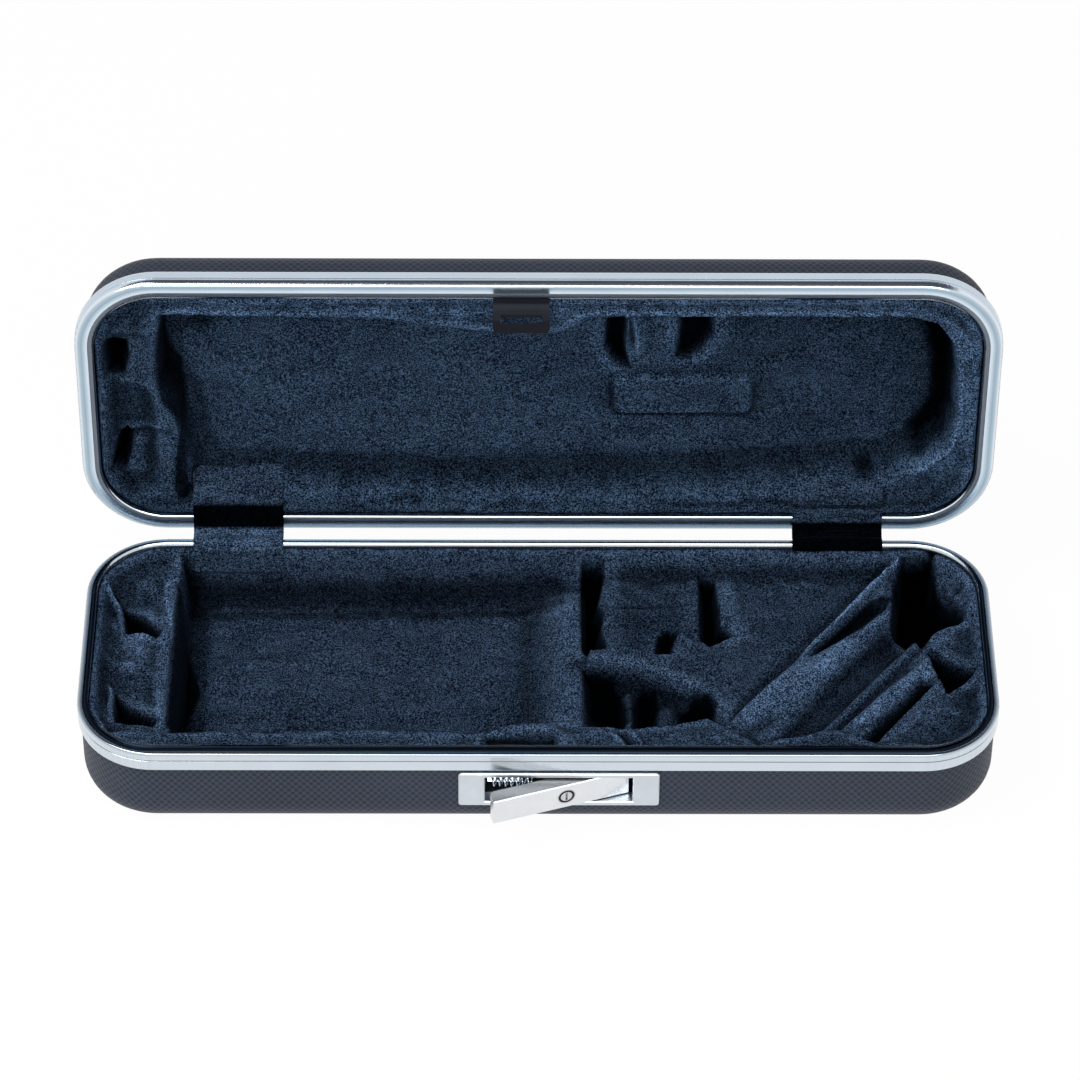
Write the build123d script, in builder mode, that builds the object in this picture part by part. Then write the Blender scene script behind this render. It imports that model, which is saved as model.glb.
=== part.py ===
from build123d import *
import math
import os

# A slim hard case for an oboe, standing open on its flat underside.
# X runs along the case, Y towards the hinges and Z up. The origin is the centre of the underside.

# Shells
case_length = 300.0
case_width = 100.0
base_depth = 36.0
lid_depth = 24.0
corner_radius = 25.0
base_edge_radius = 12.5
lid_edge_radius = 10.0
wall = 1.8
open_angle = 93.0

# Aluminium rims, measured outwards from the shells' outer faces and from the parting plane
rim_height = 7.5
base_rim_bulge = 1.0
base_rim_rounding = 0.9
lid_rim_bulge = 2.8
lid_rim_rounding = 2.0
rim_web = 1.5
rim_leaf = 0.8
rim_flange = 3.5
tongue_rise = 1.2
parting_gap = 0.4
line_drop = 2.6
line_width = 0.45
line_depth = 0.25
groove_clearance = 0.3
groove_depth = 3.2
lip_thickness = 0.7
lip_flange = 8.0
clamp_height = 1.2
seal_thickness = 1.6

# Lining: moulded foam under a velvet skin
velvet = 1.0
lining_drop = 2.5
lining_clearance = 0.4

# Hollows of the base, placed from its ends, its back and its front
end_margin = 7.0
back_margin = 8.0
front_margin = 16.0
hollow_radius = 4.0
cell_length = 18.0
cell_depth = 13.0
cell_hole_depth = 20.0
cell_hole_length = 13.0
cell_hole_width = 11.0
cell_hole_spacing = 44.0
ridge_thickness = 7.0
trough_length = 128.0
trough_depth = 25.0
bed_depth = 12.0
bed_front_margin = 12.0
block_length = 32.0
block_width = 28.0
block_wall = 6.0
slot_width = 5.5
slot_depth = 22.0
slot_radius = 2.0
pocket_length = 42.0
pocket_width = 26.0
pocket_depth = 24.0
shelf_depth = 6.0
roll_angle = 52.8
roll_width = 9.0
roll_start = 90.0
bell_width = 18.0
bell_depth = 18.0
bell_end_length = 23.0
bell_end_width = 28.0
bell_end_depth = 24.0
small_roll_width = 7.0
wedge_width = 6.0
wedge_depth = 14.0

# Hollows of the lid
recess_depth = 17.0
recess_front = 12.0
recess_back = 18.0
recess_right = 11.0
recess_radius = 18.0
lid_cell_depth = 8.0
lid_dent_depth = 12.0
lid_dent_length = 6.0
lid_dent_width = 16.0
lid_dent_spacing = 40.0
notch_depth = 19.0
notch_length = 9.0
notch_width = 19.0
notch_spacing = 26.0
notch_offset = 28.0
notch_margin = 4.5
pad_gap = 10.5
pad_length = 48.0
pad_width = 19.0
pad_rise = 2.5

# Hinges: two leaves, a pin and rivets on each side, with a velvet strap over each
hinge_inset = 48.8
hinge_length = 26.0
pivot_offset = 3.6
knuckle_radius = 1.3
pin_radius = 0.7
pin_clearance = 0.05
knuckle_gap = 0.3
leaf_thickness = 1.1
leaf_clearance = 0.3
base_leaf_height = 12.5
lid_leaf_height = 5.4
rivet_radius = 1.2
rivet_head_radius = 2.1
rivet_head = 0.7
rivet_pitch = 8.5
strap_width = 30.4
strap_thickness = 0.8
strap_clearance = 0.4
strap_bend = 0.6
strap_reach = 17.5

# Flush latch in the front wall
latch_x = 6.65
bezel_length = 65.4
bezel_height = 14.8
bezel_proud = 1.6
bezel_corner = 1.0
bezel_gap = 0.6
edge_break = 0.3
window_length = 48.2
window_height = 11.0
collar = 0.8
collar_reach = 1.0
fit_clearance = 0.1
lever_thickness = 4.8
lever_gap = 0.4
lever_end_gap = 0.5
lever_swing_gap = 1.2
lever_corner = 1.6
lever_arm = 12.1
lever_angle = 17.9
lever_pin_radius = 1.1
lock_offset = 9.5
lock_radius = 3.0
lock_tail = 7.0
lock_tail_width = 2.0
lock_tail_thickness = 0.8
key_slot_length = 3.4
key_slot_width = 0.8
key_slot_depth = 2.2
housing_wall = 0.8
screw_radius = 0.9
screw_head_radius = 1.7
screw_head = 1.0
screw_clearance = 0.6
screw_bite = 1.0

# Striker on the lid, and the bolt that catches it
striker_x = -5.9
striker_width = 18.4
striker_drop = 16.2
striker_thickness = 1.2
striker_corner = 2.0
lead_in = 0.65
lead_in_height = 5.0
catch_drop = 10.2
catch_width = 13.4
catch_height = 4.3
catch_clearance = 0.5
bolt_nose_clearance = 1.0
bolt_bar = 2.4
bolt_travel = 3.4
bolt_leg_width = 3.0
bolt_leg_offset = 8.1
bolt_gap = 0.4
slot_margin = 1.6

# Cover over the joint of the lid rim, at the back
splice_length = 67.4
splice_x = 13.0
splice_thickness = 0.5
splice_height = 3.0

# Worked-out places
parting = base_depth
front = -case_width / 2
back = case_width / 2
left = -case_length / 2
right = case_length / 2
hinge_y = back + pivot_offset
hinge_offset = case_length / 2 - hinge_inset
rim_inset = wall + rim_leaf
lip_inset = rim_inset + groove_clearance + lip_thickness
base_lining_inset = rim_inset + lining_clearance
lid_lining_inset = lip_inset + lining_clearance
shell_edge = parting_gap + groove_depth + rim_leaf
velvet_top = parting - lining_drop
foam_top = velvet_top - velvet
lid_foam_start = lining_drop + velvet

tilt = math.radians(open_angle)
lid_frame = Plane(
    origin=(0, hinge_y * (1 - math.cos(tilt)), parting + hinge_y * math.sin(tilt)),
    x_dir=(1, 0, 0),
    z_dir=(0, math.sin(tilt), math.cos(tilt)),
)
lid_up = Axis(lid_frame.origin, lid_frame.z_dir)


def lid_section(x):
    """Plane square to X through the lid: its x is the lid's Y, its y the height over the parting plane."""
    origin = lid_frame.from_local_coords((x, 0, 0))
    return Plane(origin=origin, x_dir=lid_frame.y_dir, z_dir=(1, 0, 0))


def lid_wall(y):
    """Plane parallel to the lid's front and back walls: its y is the height over the parting plane."""
    origin = lid_frame.from_local_coords((0, y, 0))
    return Plane(origin=origin, x_dir=(1, 0, 0), z_dir=-lid_frame.y_dir)


def lid_point(y, z):
    """Place in the Y-Z plane of a point of the lid, given as if the lid were closed."""
    point = lid_frame.from_local_coords((0, y, z))
    return (point.Y, point.Z)


def outline(inset, mode=Mode.ADD):
    """Plan of the case, drawn in from the shells' outer face."""
    RectangleRounded(
        case_length - 2 * inset, case_width - 2 * inset, corner_radius - inset, mode=mode
    )


def band(level, outer_inset, inner_inset, height, mode=Mode.ADD):
    """Ring round the case between two insets of its plan."""
    with BuildSketch(level) as ring:
        outline(outer_inset)
        outline(inner_inset, mode=Mode.SUBTRACT)
    extrude(ring.sketch, amount=height, mode=mode)


def block(x, y, z, mode=Mode.ADD, frame=Plane.XY):
    """Box between two values on each axis of a frame."""
    with BuildSketch(frame.offset(z[0])) as plan:
        with Locations(((x[0] + x[1]) / 2, (y[0] + y[1]) / 2)):
            Rectangle(x[1] - x[0], y[1] - y[0])
    extrude(plan.sketch, amount=z[1] - z[0], mode=mode)


def strip(section, points, length):
    """Closed outline on a section plane, drawn out along X."""
    with BuildSketch(section) as profile:
        Polygon(*points, align=None)
    extrude(profile.sketch, amount=length)


def discs(plane, places, radius, amount, mode=Mode.ADD):
    """Round bars or holes at several places of a plane."""
    with BuildSketch(plane) as rounds:
        with Locations(*places):
            Circle(radius)
    extrude(rounds.sketch, amount=amount, mode=mode)


def finish(built, label):
    """Name a finished piece and write it."""
    built.part.label = label
    export_step(built.part, f"parts/{label}.step")


os.makedirs("parts", exist_ok=True)

# Latch places: the bezel hangs just under the base rim
latch_z = parting - rim_height - bezel_gap - bezel_height / 2
bezel_face = front - bezel_proud
window_left = latch_x - window_length / 2
window_right = latch_x + window_length / 2
lever_back = bezel_face + lever_thickness
lever_left = window_left + lever_end_gap
lever_right = window_right - lever_swing_gap
lever_height = window_height - 2 * lever_gap
pivot_x = lever_right - lever_arm
swing = math.radians(lever_angle)
lever_frame = Plane(
    origin=(pivot_x, bezel_face + lever_thickness / 2, latch_z),
    x_dir=(math.cos(swing), math.sin(swing), 0),
    z_dir=(0, 0, 1),
)
lever_face = Plane(
    origin=lever_frame.from_local_coords((0, -lever_thickness / 2, 0)),
    x_dir=lever_frame.x_dir,
    z_dir=-lever_frame.y_dir,
)
striker_front = front + lip_inset
striker_back = striker_front + striker_thickness
catch_z = parting - catch_drop
bolt_height = catch_height - 2 * catch_clearance
bolt_front = striker_back + bolt_nose_clearance + bolt_travel
bolt_back = bolt_front + bolt_bar
bolt_leg_x = pivot_x + bolt_leg_offset
slot_left = striker_x - striker_width / 2 - 2 * bolt_gap
slot_right = striker_x + striker_width / 2 + 2 * bolt_gap
slot_back = bolt_front + slot_margin
housing_left = min(window_left - collar, striker_x - striker_width / 2) - bolt_gap
housing_right = window_right + collar + bolt_gap
housing_low = latch_z - window_height / 2 - collar - bolt_gap
housing_high = catch_z + bolt_height / 2 + bolt_gap
housing_back = bolt_back + bolt_gap
screw_reach = housing_right + housing_wall + screw_clearance + screw_head_radius - latch_x
screw_places = [(latch_x - screw_reach, latch_z), (latch_x + screw_reach, latch_z)]

# Base shell
base_rivet_z = parting - rim_height - base_leaf_height / 2
rivet_steps = [side * hinge_offset + step * rivet_pitch for side in (-1, 1) for step in (-1, 0, 1)]
base_rivet_places = [(x, base_rivet_z) for x in rivet_steps]
with BuildPart() as base_shell:
    with BuildSketch():
        outline(0)
    extrude(amount=parting - rim_web)
    fillet(base_shell.faces().sort_by(Axis.Z)[0].edges(), base_edge_radius)
    offset(amount=-wall, openings=base_shell.faces().sort_by(Axis.Z)[-1])
    with BuildSketch(Plane.XZ.offset(-front)):
        with Locations((latch_x, latch_z)):
            Rectangle(
                window_length + 2 * (collar + fit_clearance),
                window_height + 2 * (collar + fit_clearance),
            )
    extrude(amount=-2 * wall, mode=Mode.SUBTRACT)
    front_wall = Plane.XZ.offset(-front)
    discs(front_wall, screw_places, screw_radius + fit_clearance, -2 * wall, Mode.SUBTRACT)
    back_wall = Plane.XZ.offset(-back)
    discs(back_wall, base_rivet_places, rivet_radius + pin_clearance, 2 * wall, Mode.SUBTRACT)
finish(base_shell, "base_shell")

# Base rim: a bulged skirt outside the shell, a flange inside it and a low tongue
skirt_low = Plane.XY.offset(parting - rim_height)
line_level = Plane.XY.offset(parting - line_drop - line_width)
with BuildPart() as base_rim:
    with BuildSketch(skirt_low):
        outline(-base_rim_bulge)
    extrude(amount=rim_height)
    fillet(base_rim.faces().filter_by(Axis.Z).edges(), base_rim_rounding)
    band(line_level, -2 * base_rim_bulge, line_depth - base_rim_bulge, line_width, Mode.SUBTRACT)
    with BuildSketch(skirt_low):
        outline(0)
    extrude(amount=rim_height - rim_web, mode=Mode.SUBTRACT)
    with BuildSketch(skirt_low):
        outline(rim_inset)
    extrude(amount=rim_height, mode=Mode.SUBTRACT)
    band(Plane.XY.offset(parting - rim_web - rim_flange), wall, rim_inset, rim_flange)
    band(Plane.XY.offset(parting), wall, rim_inset, tongue_rise)
finish(base_rim, "base_rim")

# Lid shell
lid_rivet_z = rim_height + leaf_clearance + leaf_thickness + lid_leaf_height / 2
lid_rivet_places = [(x, lid_rivet_z) for x in rivet_steps]
with BuildPart() as lid_shell:
    with BuildSketch(lid_frame.offset(shell_edge)):
        outline(0)
    extrude(amount=lid_depth - shell_edge)
    fillet(lid_shell.faces().sort_by(lid_up)[-1].edges(), lid_edge_radius)
    offset(amount=-wall, openings=lid_shell.faces().sort_by(lid_up)[0])
    discs(lid_wall(back), lid_rivet_places, rivet_radius + pin_clearance, 2 * wall, Mode.SUBTRACT)
finish(lid_shell, "lid_shell")

# Lid rim: a deeper bulge, a groove for the tongue and the seal, and a lip with a flange inside
lid_line = lid_frame.offset(line_drop)
groove_outer = wall - groove_clearance
groove_inner = rim_inset + groove_clearance
striker_rivet_z = (shell_edge + clamp_height + lip_flange) / 2
striker_rivet_places = [(striker_x + side * striker_width / 4, striker_rivet_z) for side in (-1, 1)]
with BuildPart() as lid_rim:
    with BuildSketch(lid_frame.offset(parting_gap)):
        outline(-lid_rim_bulge)
    extrude(amount=rim_height - parting_gap)
    fillet(lid_rim.faces().filter_by(lid_up).edges(), lid_rim_rounding)
    band(lid_line, -2 * lid_rim_bulge, line_depth - lid_rim_bulge, line_width, Mode.SUBTRACT)
    with BuildSketch(lid_frame.offset(shell_edge)):
        outline(0)
    extrude(amount=rim_height, mode=Mode.SUBTRACT)
    with BuildSketch(lid_frame.offset(parting_gap)):
        outline(lip_inset)
    extrude(amount=rim_height, mode=Mode.SUBTRACT)
    band(lid_frame.offset(parting_gap), groove_outer, groove_inner, groove_depth, Mode.SUBTRACT)
    band(lid_frame.offset(shell_edge), wall, lip_inset, clamp_height)
    band(lid_frame.offset(shell_edge), groove_inner, lip_inset, lip_flange - shell_edge)
    lip_hole = rivet_radius / 2 + pin_clearance
    discs(lid_wall(front), striker_rivet_places, lip_hole, -2 * lip_inset, Mode.SUBTRACT)
finish(lid_rim, "lid_rim")

# Seal at the bottom of the lid rim's groove
with BuildPart() as lid_seal:
    seal_level = lid_frame.offset(parting_gap + groove_depth - seal_thickness)
    band(seal_level, groove_outer, groove_inner, seal_thickness)
finish(lid_seal, "lid_seal")

# Hollows of the base lining
trough_left = left + end_margin + cell_length + ridge_thickness
trough_right = trough_left + trough_length
trough_front = front + front_margin
trough_back = back - back_margin
trough_middle = (trough_front + trough_back) / 2
bed_front = trough_front + bed_front_margin
block_left = trough_right + block_wall + slot_width
block_right = block_left + block_length
roll_slope = math.tan(math.radians(roll_angle))
roll_sine = math.sin(math.radians(roll_angle))
roll_cosine = math.cos(math.radians(roll_angle))


def roll_edge(y):
    """X of the long padded roll's left edge at a given Y."""
    return right - roll_start + (y - trough_front) / roll_slope


def rounded(x, y, grow, radius=hollow_radius):
    """Rounded hollow between two values of X and of Y."""
    with Locations(((x[0] + x[1]) / 2, (y[0] + y[1]) / 2)):
        RectangleRounded(x[1] - x[0] + 2 * grow, y[1] - y[0] + 2 * grow, radius + grow)


def slanted(distance, width, grow):
    """Channel beside the long roll, at a distance from its left edge to the channel's middle."""
    x = roll_edge(trough_middle) + distance * roll_sine
    y = trough_middle - distance * roll_cosine
    with Locations((x, y)):
        Rectangle(case_length, width + 2 * grow, rotation=roll_angle)
    with Locations(((right + roll_edge(trough_front)) / 2, trough_middle)):
        Rectangle(
            right - roll_edge(trough_front) + 2 * grow,
            trough_back - trough_front + 2 * grow,
            mode=Mode.INTERSECT,
        )
    outline(end_margin - grow, mode=Mode.INTERSECT)


def draw_trough(grow):
    rounded((trough_left, trough_right), (trough_front, trough_back), grow)


def draw_cell(grow):
    cell_left = left + end_margin
    rounded((cell_left, cell_left + cell_length), (trough_front, trough_back), grow)
    outline(end_margin - grow, mode=Mode.INTERSECT)


def draw_cell_holes(grow):
    with Locations((left + end_margin + cell_length / 2 + 1, trough_middle - 5)):
        with GridLocations(0, cell_hole_spacing, 1, 2):
            RectangleRounded(cell_hole_length + 2 * grow, cell_hole_width + 2 * grow, hollow_radius + grow)


def draw_bed(grow):
    Polygon(
        (trough_right - hollow_radius, trough_back + grow),
        (roll_edge(trough_back + grow) + grow / roll_sine, trough_back + grow),
        (roll_edge(bed_front - grow) + grow / roll_sine, bed_front - grow),
        (trough_right - hollow_radius, bed_front - grow),
        align=None,
    )


def draw_slots(grow):
    slots = (trough_back - block_width, trough_back)
    rounded((block_left - slot_width, block_left), slots, grow, slot_radius)
    rounded((block_right, block_right + slot_width), slots, grow, slot_radius)


def draw_pocket(grow):
    pocket_back = trough_back - block_width - block_wall
    pocket_front = pocket_back - pocket_width
    pocket_left = trough_right + block_wall
    rounded((pocket_left, pocket_left + pocket_length), (pocket_front, pocket_back), grow)


def draw_shelf(grow):
    rounded((roll_edge(trough_front) + end_margin, right), (trough_front, trough_back), grow)
    outline(end_margin - grow, mode=Mode.INTERSECT)


def draw_bell(grow):
    slanted(roll_width + bell_width / 2, bell_width, grow)


def draw_bell_end(grow):
    end = right - end_margin
    rounded((end - bell_end_length, end), (trough_back - bell_end_width, trough_back), grow)
    outline(end_margin - grow, mode=Mode.INTERSECT)


def draw_wedge(grow):
    slanted(roll_width + bell_width + small_roll_width + wedge_width / 2, wedge_width, grow)


base_hollows = [
    (draw_trough, trough_depth),
    (draw_cell, cell_depth),
    (draw_cell_holes, cell_hole_depth),
    (draw_bed, bed_depth),
    (draw_slots, slot_depth),
    (draw_pocket, pocket_depth),
    (draw_shelf, shelf_depth),
    (draw_bell, bell_depth),
    (draw_bell_end, bell_end_depth),
    (draw_wedge, wedge_depth),
]

# Hollows of the lid lining
recess_left = trough_left
recess_y = (front + recess_front, back - recess_back)
notch_middle = trough_right + notch_offset
notch_front = recess_y[0] + notch_margin
pad_front = notch_front + notch_width + pad_gap


def draw_recess(grow):
    rounded((recess_left, right - recess_right), recess_y, grow, recess_radius)
    rounded((recess_left, trough_right), recess_y, grow)


def draw_lid_cell(grow):
    cell_left = left + end_margin
    rounded((cell_left, cell_left + cell_length), (front + recess_front, trough_back), grow)
    outline(end_margin - grow, mode=Mode.INTERSECT)


def draw_dents(grow):
    with Locations((left + end_margin + 1 + lid_dent_length / 2, 0)):
        with GridLocations(0, lid_dent_spacing, 1, 2):
            RectangleRounded(
                lid_dent_length + 2 * grow, lid_dent_width + 2 * grow, lid_dent_length / 2.1 + grow
            )


def draw_notches(grow):
    with Locations((notch_middle, notch_front + notch_width / 2)):
        with GridLocations(notch_spacing, 0, 2, 1):
            RectangleRounded(notch_length + 2 * grow, notch_width + 2 * grow, hollow_radius + grow)


lid_hollows = [
    (draw_recess, recess_depth),
    (draw_lid_cell, lid_cell_depth),
    (draw_dents, lid_dent_depth),
    (draw_notches, notch_depth),
]


def carve(level, hollows, side, grow, mode):
    """Prisms of a set of hollows, from the lining's face to their depth, grown by a skin."""
    for draw, depth in hollows:
        with BuildSketch(level) as plan:
            draw(grow)
        extrude(plan.sketch, amount=side * (depth - lining_drop + grow), mode=mode)


pad_x = (notch_middle - notch_spacing / 2, notch_middle - notch_spacing / 2 + pad_length)
pad_y = (pad_front, pad_front + pad_width)
pad_top = recess_depth - pad_rise
pad_core_x = (pad_x[0] + velvet, pad_x[1] - velvet)
pad_core_y = (pad_y[0] + velvet, pad_y[1] - velvet)
pad_core_z = (pad_top + velvet, recess_depth + velvet)
velvet_level = Plane.XY.offset(velvet_top)
lid_velvet_level = lid_frame.offset(lining_drop)
slot_y = (front + base_lining_inset, slot_back)

# Base foam, cut for the hollows, the latch housing and the striker's slot
with BuildPart() as base_foam:
    with BuildSketch(Plane.XY.offset(wall)):
        outline(base_lining_inset)
    extrude(amount=foam_top - wall)
    fillet(base_foam.faces().sort_by(Axis.Z)[0].edges(), base_edge_radius - wall)
    carve(velvet_level, base_hollows, -1, velvet, Mode.SUBTRACT)
    block(
        (housing_left - housing_wall - lining_clearance, housing_right + housing_wall + lining_clearance),
        (front, housing_back + housing_wall + lining_clearance),
        (housing_low - housing_wall - lining_clearance, housing_high + housing_wall + lining_clearance),
        Mode.SUBTRACT,
    )
    block((slot_left, slot_right), (front, slot_back), (housing_high, parting), Mode.SUBTRACT)
    block(
        (latch_x - bezel_length / 2, latch_x + bezel_length / 2),
        (front, front + wall + housing_wall + screw_head + lining_clearance),
        (latch_z - window_height / 2, latch_z + window_height / 2),
        Mode.SUBTRACT,
    )
finish(base_foam, "base_foam")

# Base velvet, a skin over the foam and down into every hollow
with BuildPart() as base_velvet:
    with BuildSketch(velvet_level):
        outline(base_lining_inset)
    extrude(amount=-velvet)
    carve(velvet_level, base_hollows, -1, velvet, Mode.ADD)
    carve(velvet_level, base_hollows, -1, 0, Mode.SUBTRACT)
    block((slot_left, slot_right), slot_y, (foam_top, velvet_top), Mode.SUBTRACT)
finish(base_velvet, "base_velvet")

# Lid foam and lid velvet, notched for the striker
striker_notch = (
    (slot_left, slot_right),
    (front, striker_back + lining_clearance),
    (0, lip_flange + lining_clearance),
)
with BuildPart() as lid_foam:
    with BuildSketch(lid_frame.offset(lid_foam_start)):
        outline(lid_lining_inset)
    extrude(amount=lid_depth - wall - lid_foam_start)
    fillet(lid_foam.faces().sort_by(lid_up)[-1].edges(), lid_edge_radius - wall)
    carve(lid_velvet_level, lid_hollows, 1, velvet, Mode.SUBTRACT)
    block(*striker_notch, mode=Mode.SUBTRACT, frame=lid_frame)
    block(pad_core_x, pad_core_y, pad_core_z, frame=lid_frame)
finish(lid_foam, "lid_foam")

with BuildPart() as lid_velvet:
    with BuildSketch(lid_velvet_level):
        outline(lid_lining_inset)
    extrude(amount=velvet)
    carve(lid_velvet_level, lid_hollows, 1, velvet, Mode.ADD)
    carve(lid_velvet_level, lid_hollows, 1, 0, Mode.SUBTRACT)
    block(*striker_notch, mode=Mode.SUBTRACT, frame=lid_frame)
    block(pad_x, pad_y, (pad_top, recess_depth + velvet), frame=lid_frame)
    block(pad_core_x, pad_core_y, pad_core_z, Mode.SUBTRACT, lid_frame)
finish(lid_velvet, "lid_velvet")

# Latch bezel, with a collar through the wall and bores for the lever's pin
pin_x = (pivot_x, lever_frame.origin.Y)
with BuildPart() as latch_bezel:
    with BuildSketch(Plane.XZ.offset(-bezel_face)):
        with Locations((latch_x, latch_z)):
            RectangleRounded(bezel_length, bezel_height, bezel_corner)
    extrude(amount=-bezel_proud)
    with BuildSketch(Plane.XZ.offset(-front)):
        with Locations((latch_x, latch_z)):
            Rectangle(window_length + 2 * collar, window_height + 2 * collar)
    extrude(amount=-(wall + collar_reach))
    with BuildSketch(Plane.XZ.offset(-bezel_face)):
        with Locations((latch_x, latch_z)):
            Rectangle(window_length, window_height)
    extrude(amount=-(bezel_proud + wall + collar_reach), mode=Mode.SUBTRACT)
    chamfer(latch_bezel.faces().sort_by(Axis.Y)[0].edges(), edge_break)
    discs(Plane.XY, [pin_x], lever_pin_radius, parting, Mode.SUBTRACT)
    discs(Plane.XZ.offset(-front), screw_places, screw_radius, screw_bite, Mode.SUBTRACT)
finish(latch_bezel, "latch_bezel")

# Pin of the latch lever, held in the bezel's collar
with BuildPart() as lever_pin:
    pin_low = latch_z - window_height / 2 - collar
    discs(Plane.XY.offset(pin_low), [pin_x], lever_pin_radius, window_height + 2 * collar)
finish(lever_pin, "lever_pin")

# Latch housing behind the wall, open to the window and above to the striker
housing_x = (housing_left, housing_right)
housing_y = (front + wall, housing_back)
housing_z = (housing_low, housing_high)
ear_z = (latch_z - screw_head_radius, latch_z + screw_head_radius)
with BuildPart() as latch_housing:
    block(
        (housing_left - housing_wall, housing_right + housing_wall),
        (front + wall, housing_back + housing_wall),
        (housing_low - housing_wall, housing_high + housing_wall),
    )
    block(housing_x, housing_y, housing_z, Mode.SUBTRACT)
    block((slot_left, slot_right), (front, slot_back), (housing_high, parting), Mode.SUBTRACT)
    block(
        (screw_places[0][0] - screw_head_radius, housing_left),
        (front + wall, front + wall + housing_wall),
        ear_z,
    )
    block(
        (housing_right, screw_places[1][0] + screw_head_radius),
        (front + wall, front + wall + housing_wall),
        ear_z,
    )
    discs(Plane.XZ.offset(-front), screw_places, screw_radius, -2 * wall, Mode.SUBTRACT)
finish(latch_housing, "latch_housing")

# Screws from inside, through the housing's ears into the back of the bezel
with BuildPart() as latch_screws:
    head_plane = Plane.XZ.offset(-(front + wall + housing_wall))
    discs(head_plane, screw_places, screw_head_radius, -screw_head)
    discs(head_plane, screw_places, screw_radius, wall + housing_wall + screw_bite)
finish(latch_screws, "latch_screws")

# Latch lever, swung out on its pin
lever_x = (lever_left - pivot_x, lever_right - pivot_x)
lever_y = (-lever_thickness / 2, lever_thickness / 2)
lock_x = -lock_offset
with BuildPart() as latch_lever:
    block(lever_x, lever_y, (-lever_height / 2, lever_height / 2), frame=lever_frame)
    lever_along = Axis(lever_frame.origin, lever_frame.x_dir)
    lever_in = Axis(lever_frame.origin, lever_frame.y_dir)
    end_edges = latch_lever.edges().filter_by(Axis.Z).group_by(lever_along)[0]
    fillet(end_edges.sort_by(lever_in)[-1], lever_corner)
    chamfer(latch_lever.faces().sort_by(lever_in)[0].edges(), edge_break)
    with BuildSketch(lever_frame.offset(-lever_height / 2)):
        Circle(lever_pin_radius + pin_clearance)
    extrude(amount=lever_height, mode=Mode.SUBTRACT)
    discs(lever_face, [(lock_x, 0)], lock_radius + pin_clearance, -lever_thickness, Mode.SUBTRACT)
finish(latch_lever, "latch_lever")

# Lock cylinder in the lever, with its key slot and the tail behind it
with BuildPart() as lock_cylinder:
    discs(lever_face, [(lock_x, 0)], lock_radius, -(lever_thickness + 2 * fit_clearance))
    with BuildSketch(lever_face.offset(-(lever_thickness + 2 * fit_clearance))):
        with Locations((lock_x, 0)):
            SlotOverall(lock_tail, lock_tail_width)
    extrude(amount=-lock_tail_thickness)
    with BuildSketch(lever_face):
        with Locations((lock_x, 0)):
            Rectangle(key_slot_width, key_slot_length)
    extrude(amount=-key_slot_depth, mode=Mode.SUBTRACT)
finish(lock_cylinder, "lock_cylinder")

# Bolt: a nose for the striker's slot, a bar behind the striker and a leg that the lever pushes
bolt_low = catch_z - bolt_height / 2
bolt_high = catch_z + bolt_height / 2
nose_half = catch_width / 2 - bolt_nose_clearance
with BuildPart() as latch_bolt:
    block(
        (striker_x - nose_half, bolt_leg_x + bolt_leg_width / 2),
        (bolt_front, bolt_back),
        (bolt_low, bolt_high),
    )
    block(
        (striker_x - nose_half, striker_x + nose_half),
        (striker_front + bolt_travel, bolt_front),
        (bolt_low, bolt_high),
    )
    block(
        (bolt_leg_x - bolt_leg_width / 2, bolt_leg_x + bolt_leg_width / 2),
        (lever_back + bolt_gap + bolt_travel, bolt_back),
        (latch_z - lever_height / 2 + bolt_gap, bolt_high),
    )
finish(latch_bolt, "latch_bolt")

# Striker: a plate riveted inside the lid rim, with a slot for the bolt and a lead-in at its tip
striker_outline = [
    (striker_front, lip_flange),
    (striker_back, lip_flange),
    (striker_back, -striker_drop),
    (striker_front + lead_in, -striker_drop),
    (striker_front, lead_in_height - striker_drop),
]
with BuildPart() as striker:
    strip(lid_section(striker_x - striker_width / 2), striker_outline, striker_width)
    corner_edges = striker.edges().filter_by(Axis(lid_frame.origin, lid_frame.y_dir))
    fillet(corner_edges.group_by(lid_up)[0], striker_corner)
    with BuildSketch(lid_wall(striker_front)):
        with Locations((striker_x, -catch_drop)):
            Rectangle(catch_width, catch_height)
    extrude(amount=-striker_thickness, mode=Mode.SUBTRACT)
    front_face = lid_wall(striker_front)
    discs(front_face, striker_rivet_places, rivet_radius / 2, -striker_thickness, Mode.SUBTRACT)
finish(striker, "striker")

with BuildPart() as striker_rivets:
    discs(
        lid_wall(striker_front - lip_thickness),
        striker_rivet_places,
        rivet_radius / 2,
        -(lip_thickness + striker_thickness),
    )
    discs(lid_wall(striker_back), striker_rivet_places, rivet_radius, -lining_clearance / 2)
    discs(lid_wall(striker_front - lip_thickness), striker_rivet_places, rivet_radius, lining_clearance)
finish(striker_rivets, "striker_rivets")

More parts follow.
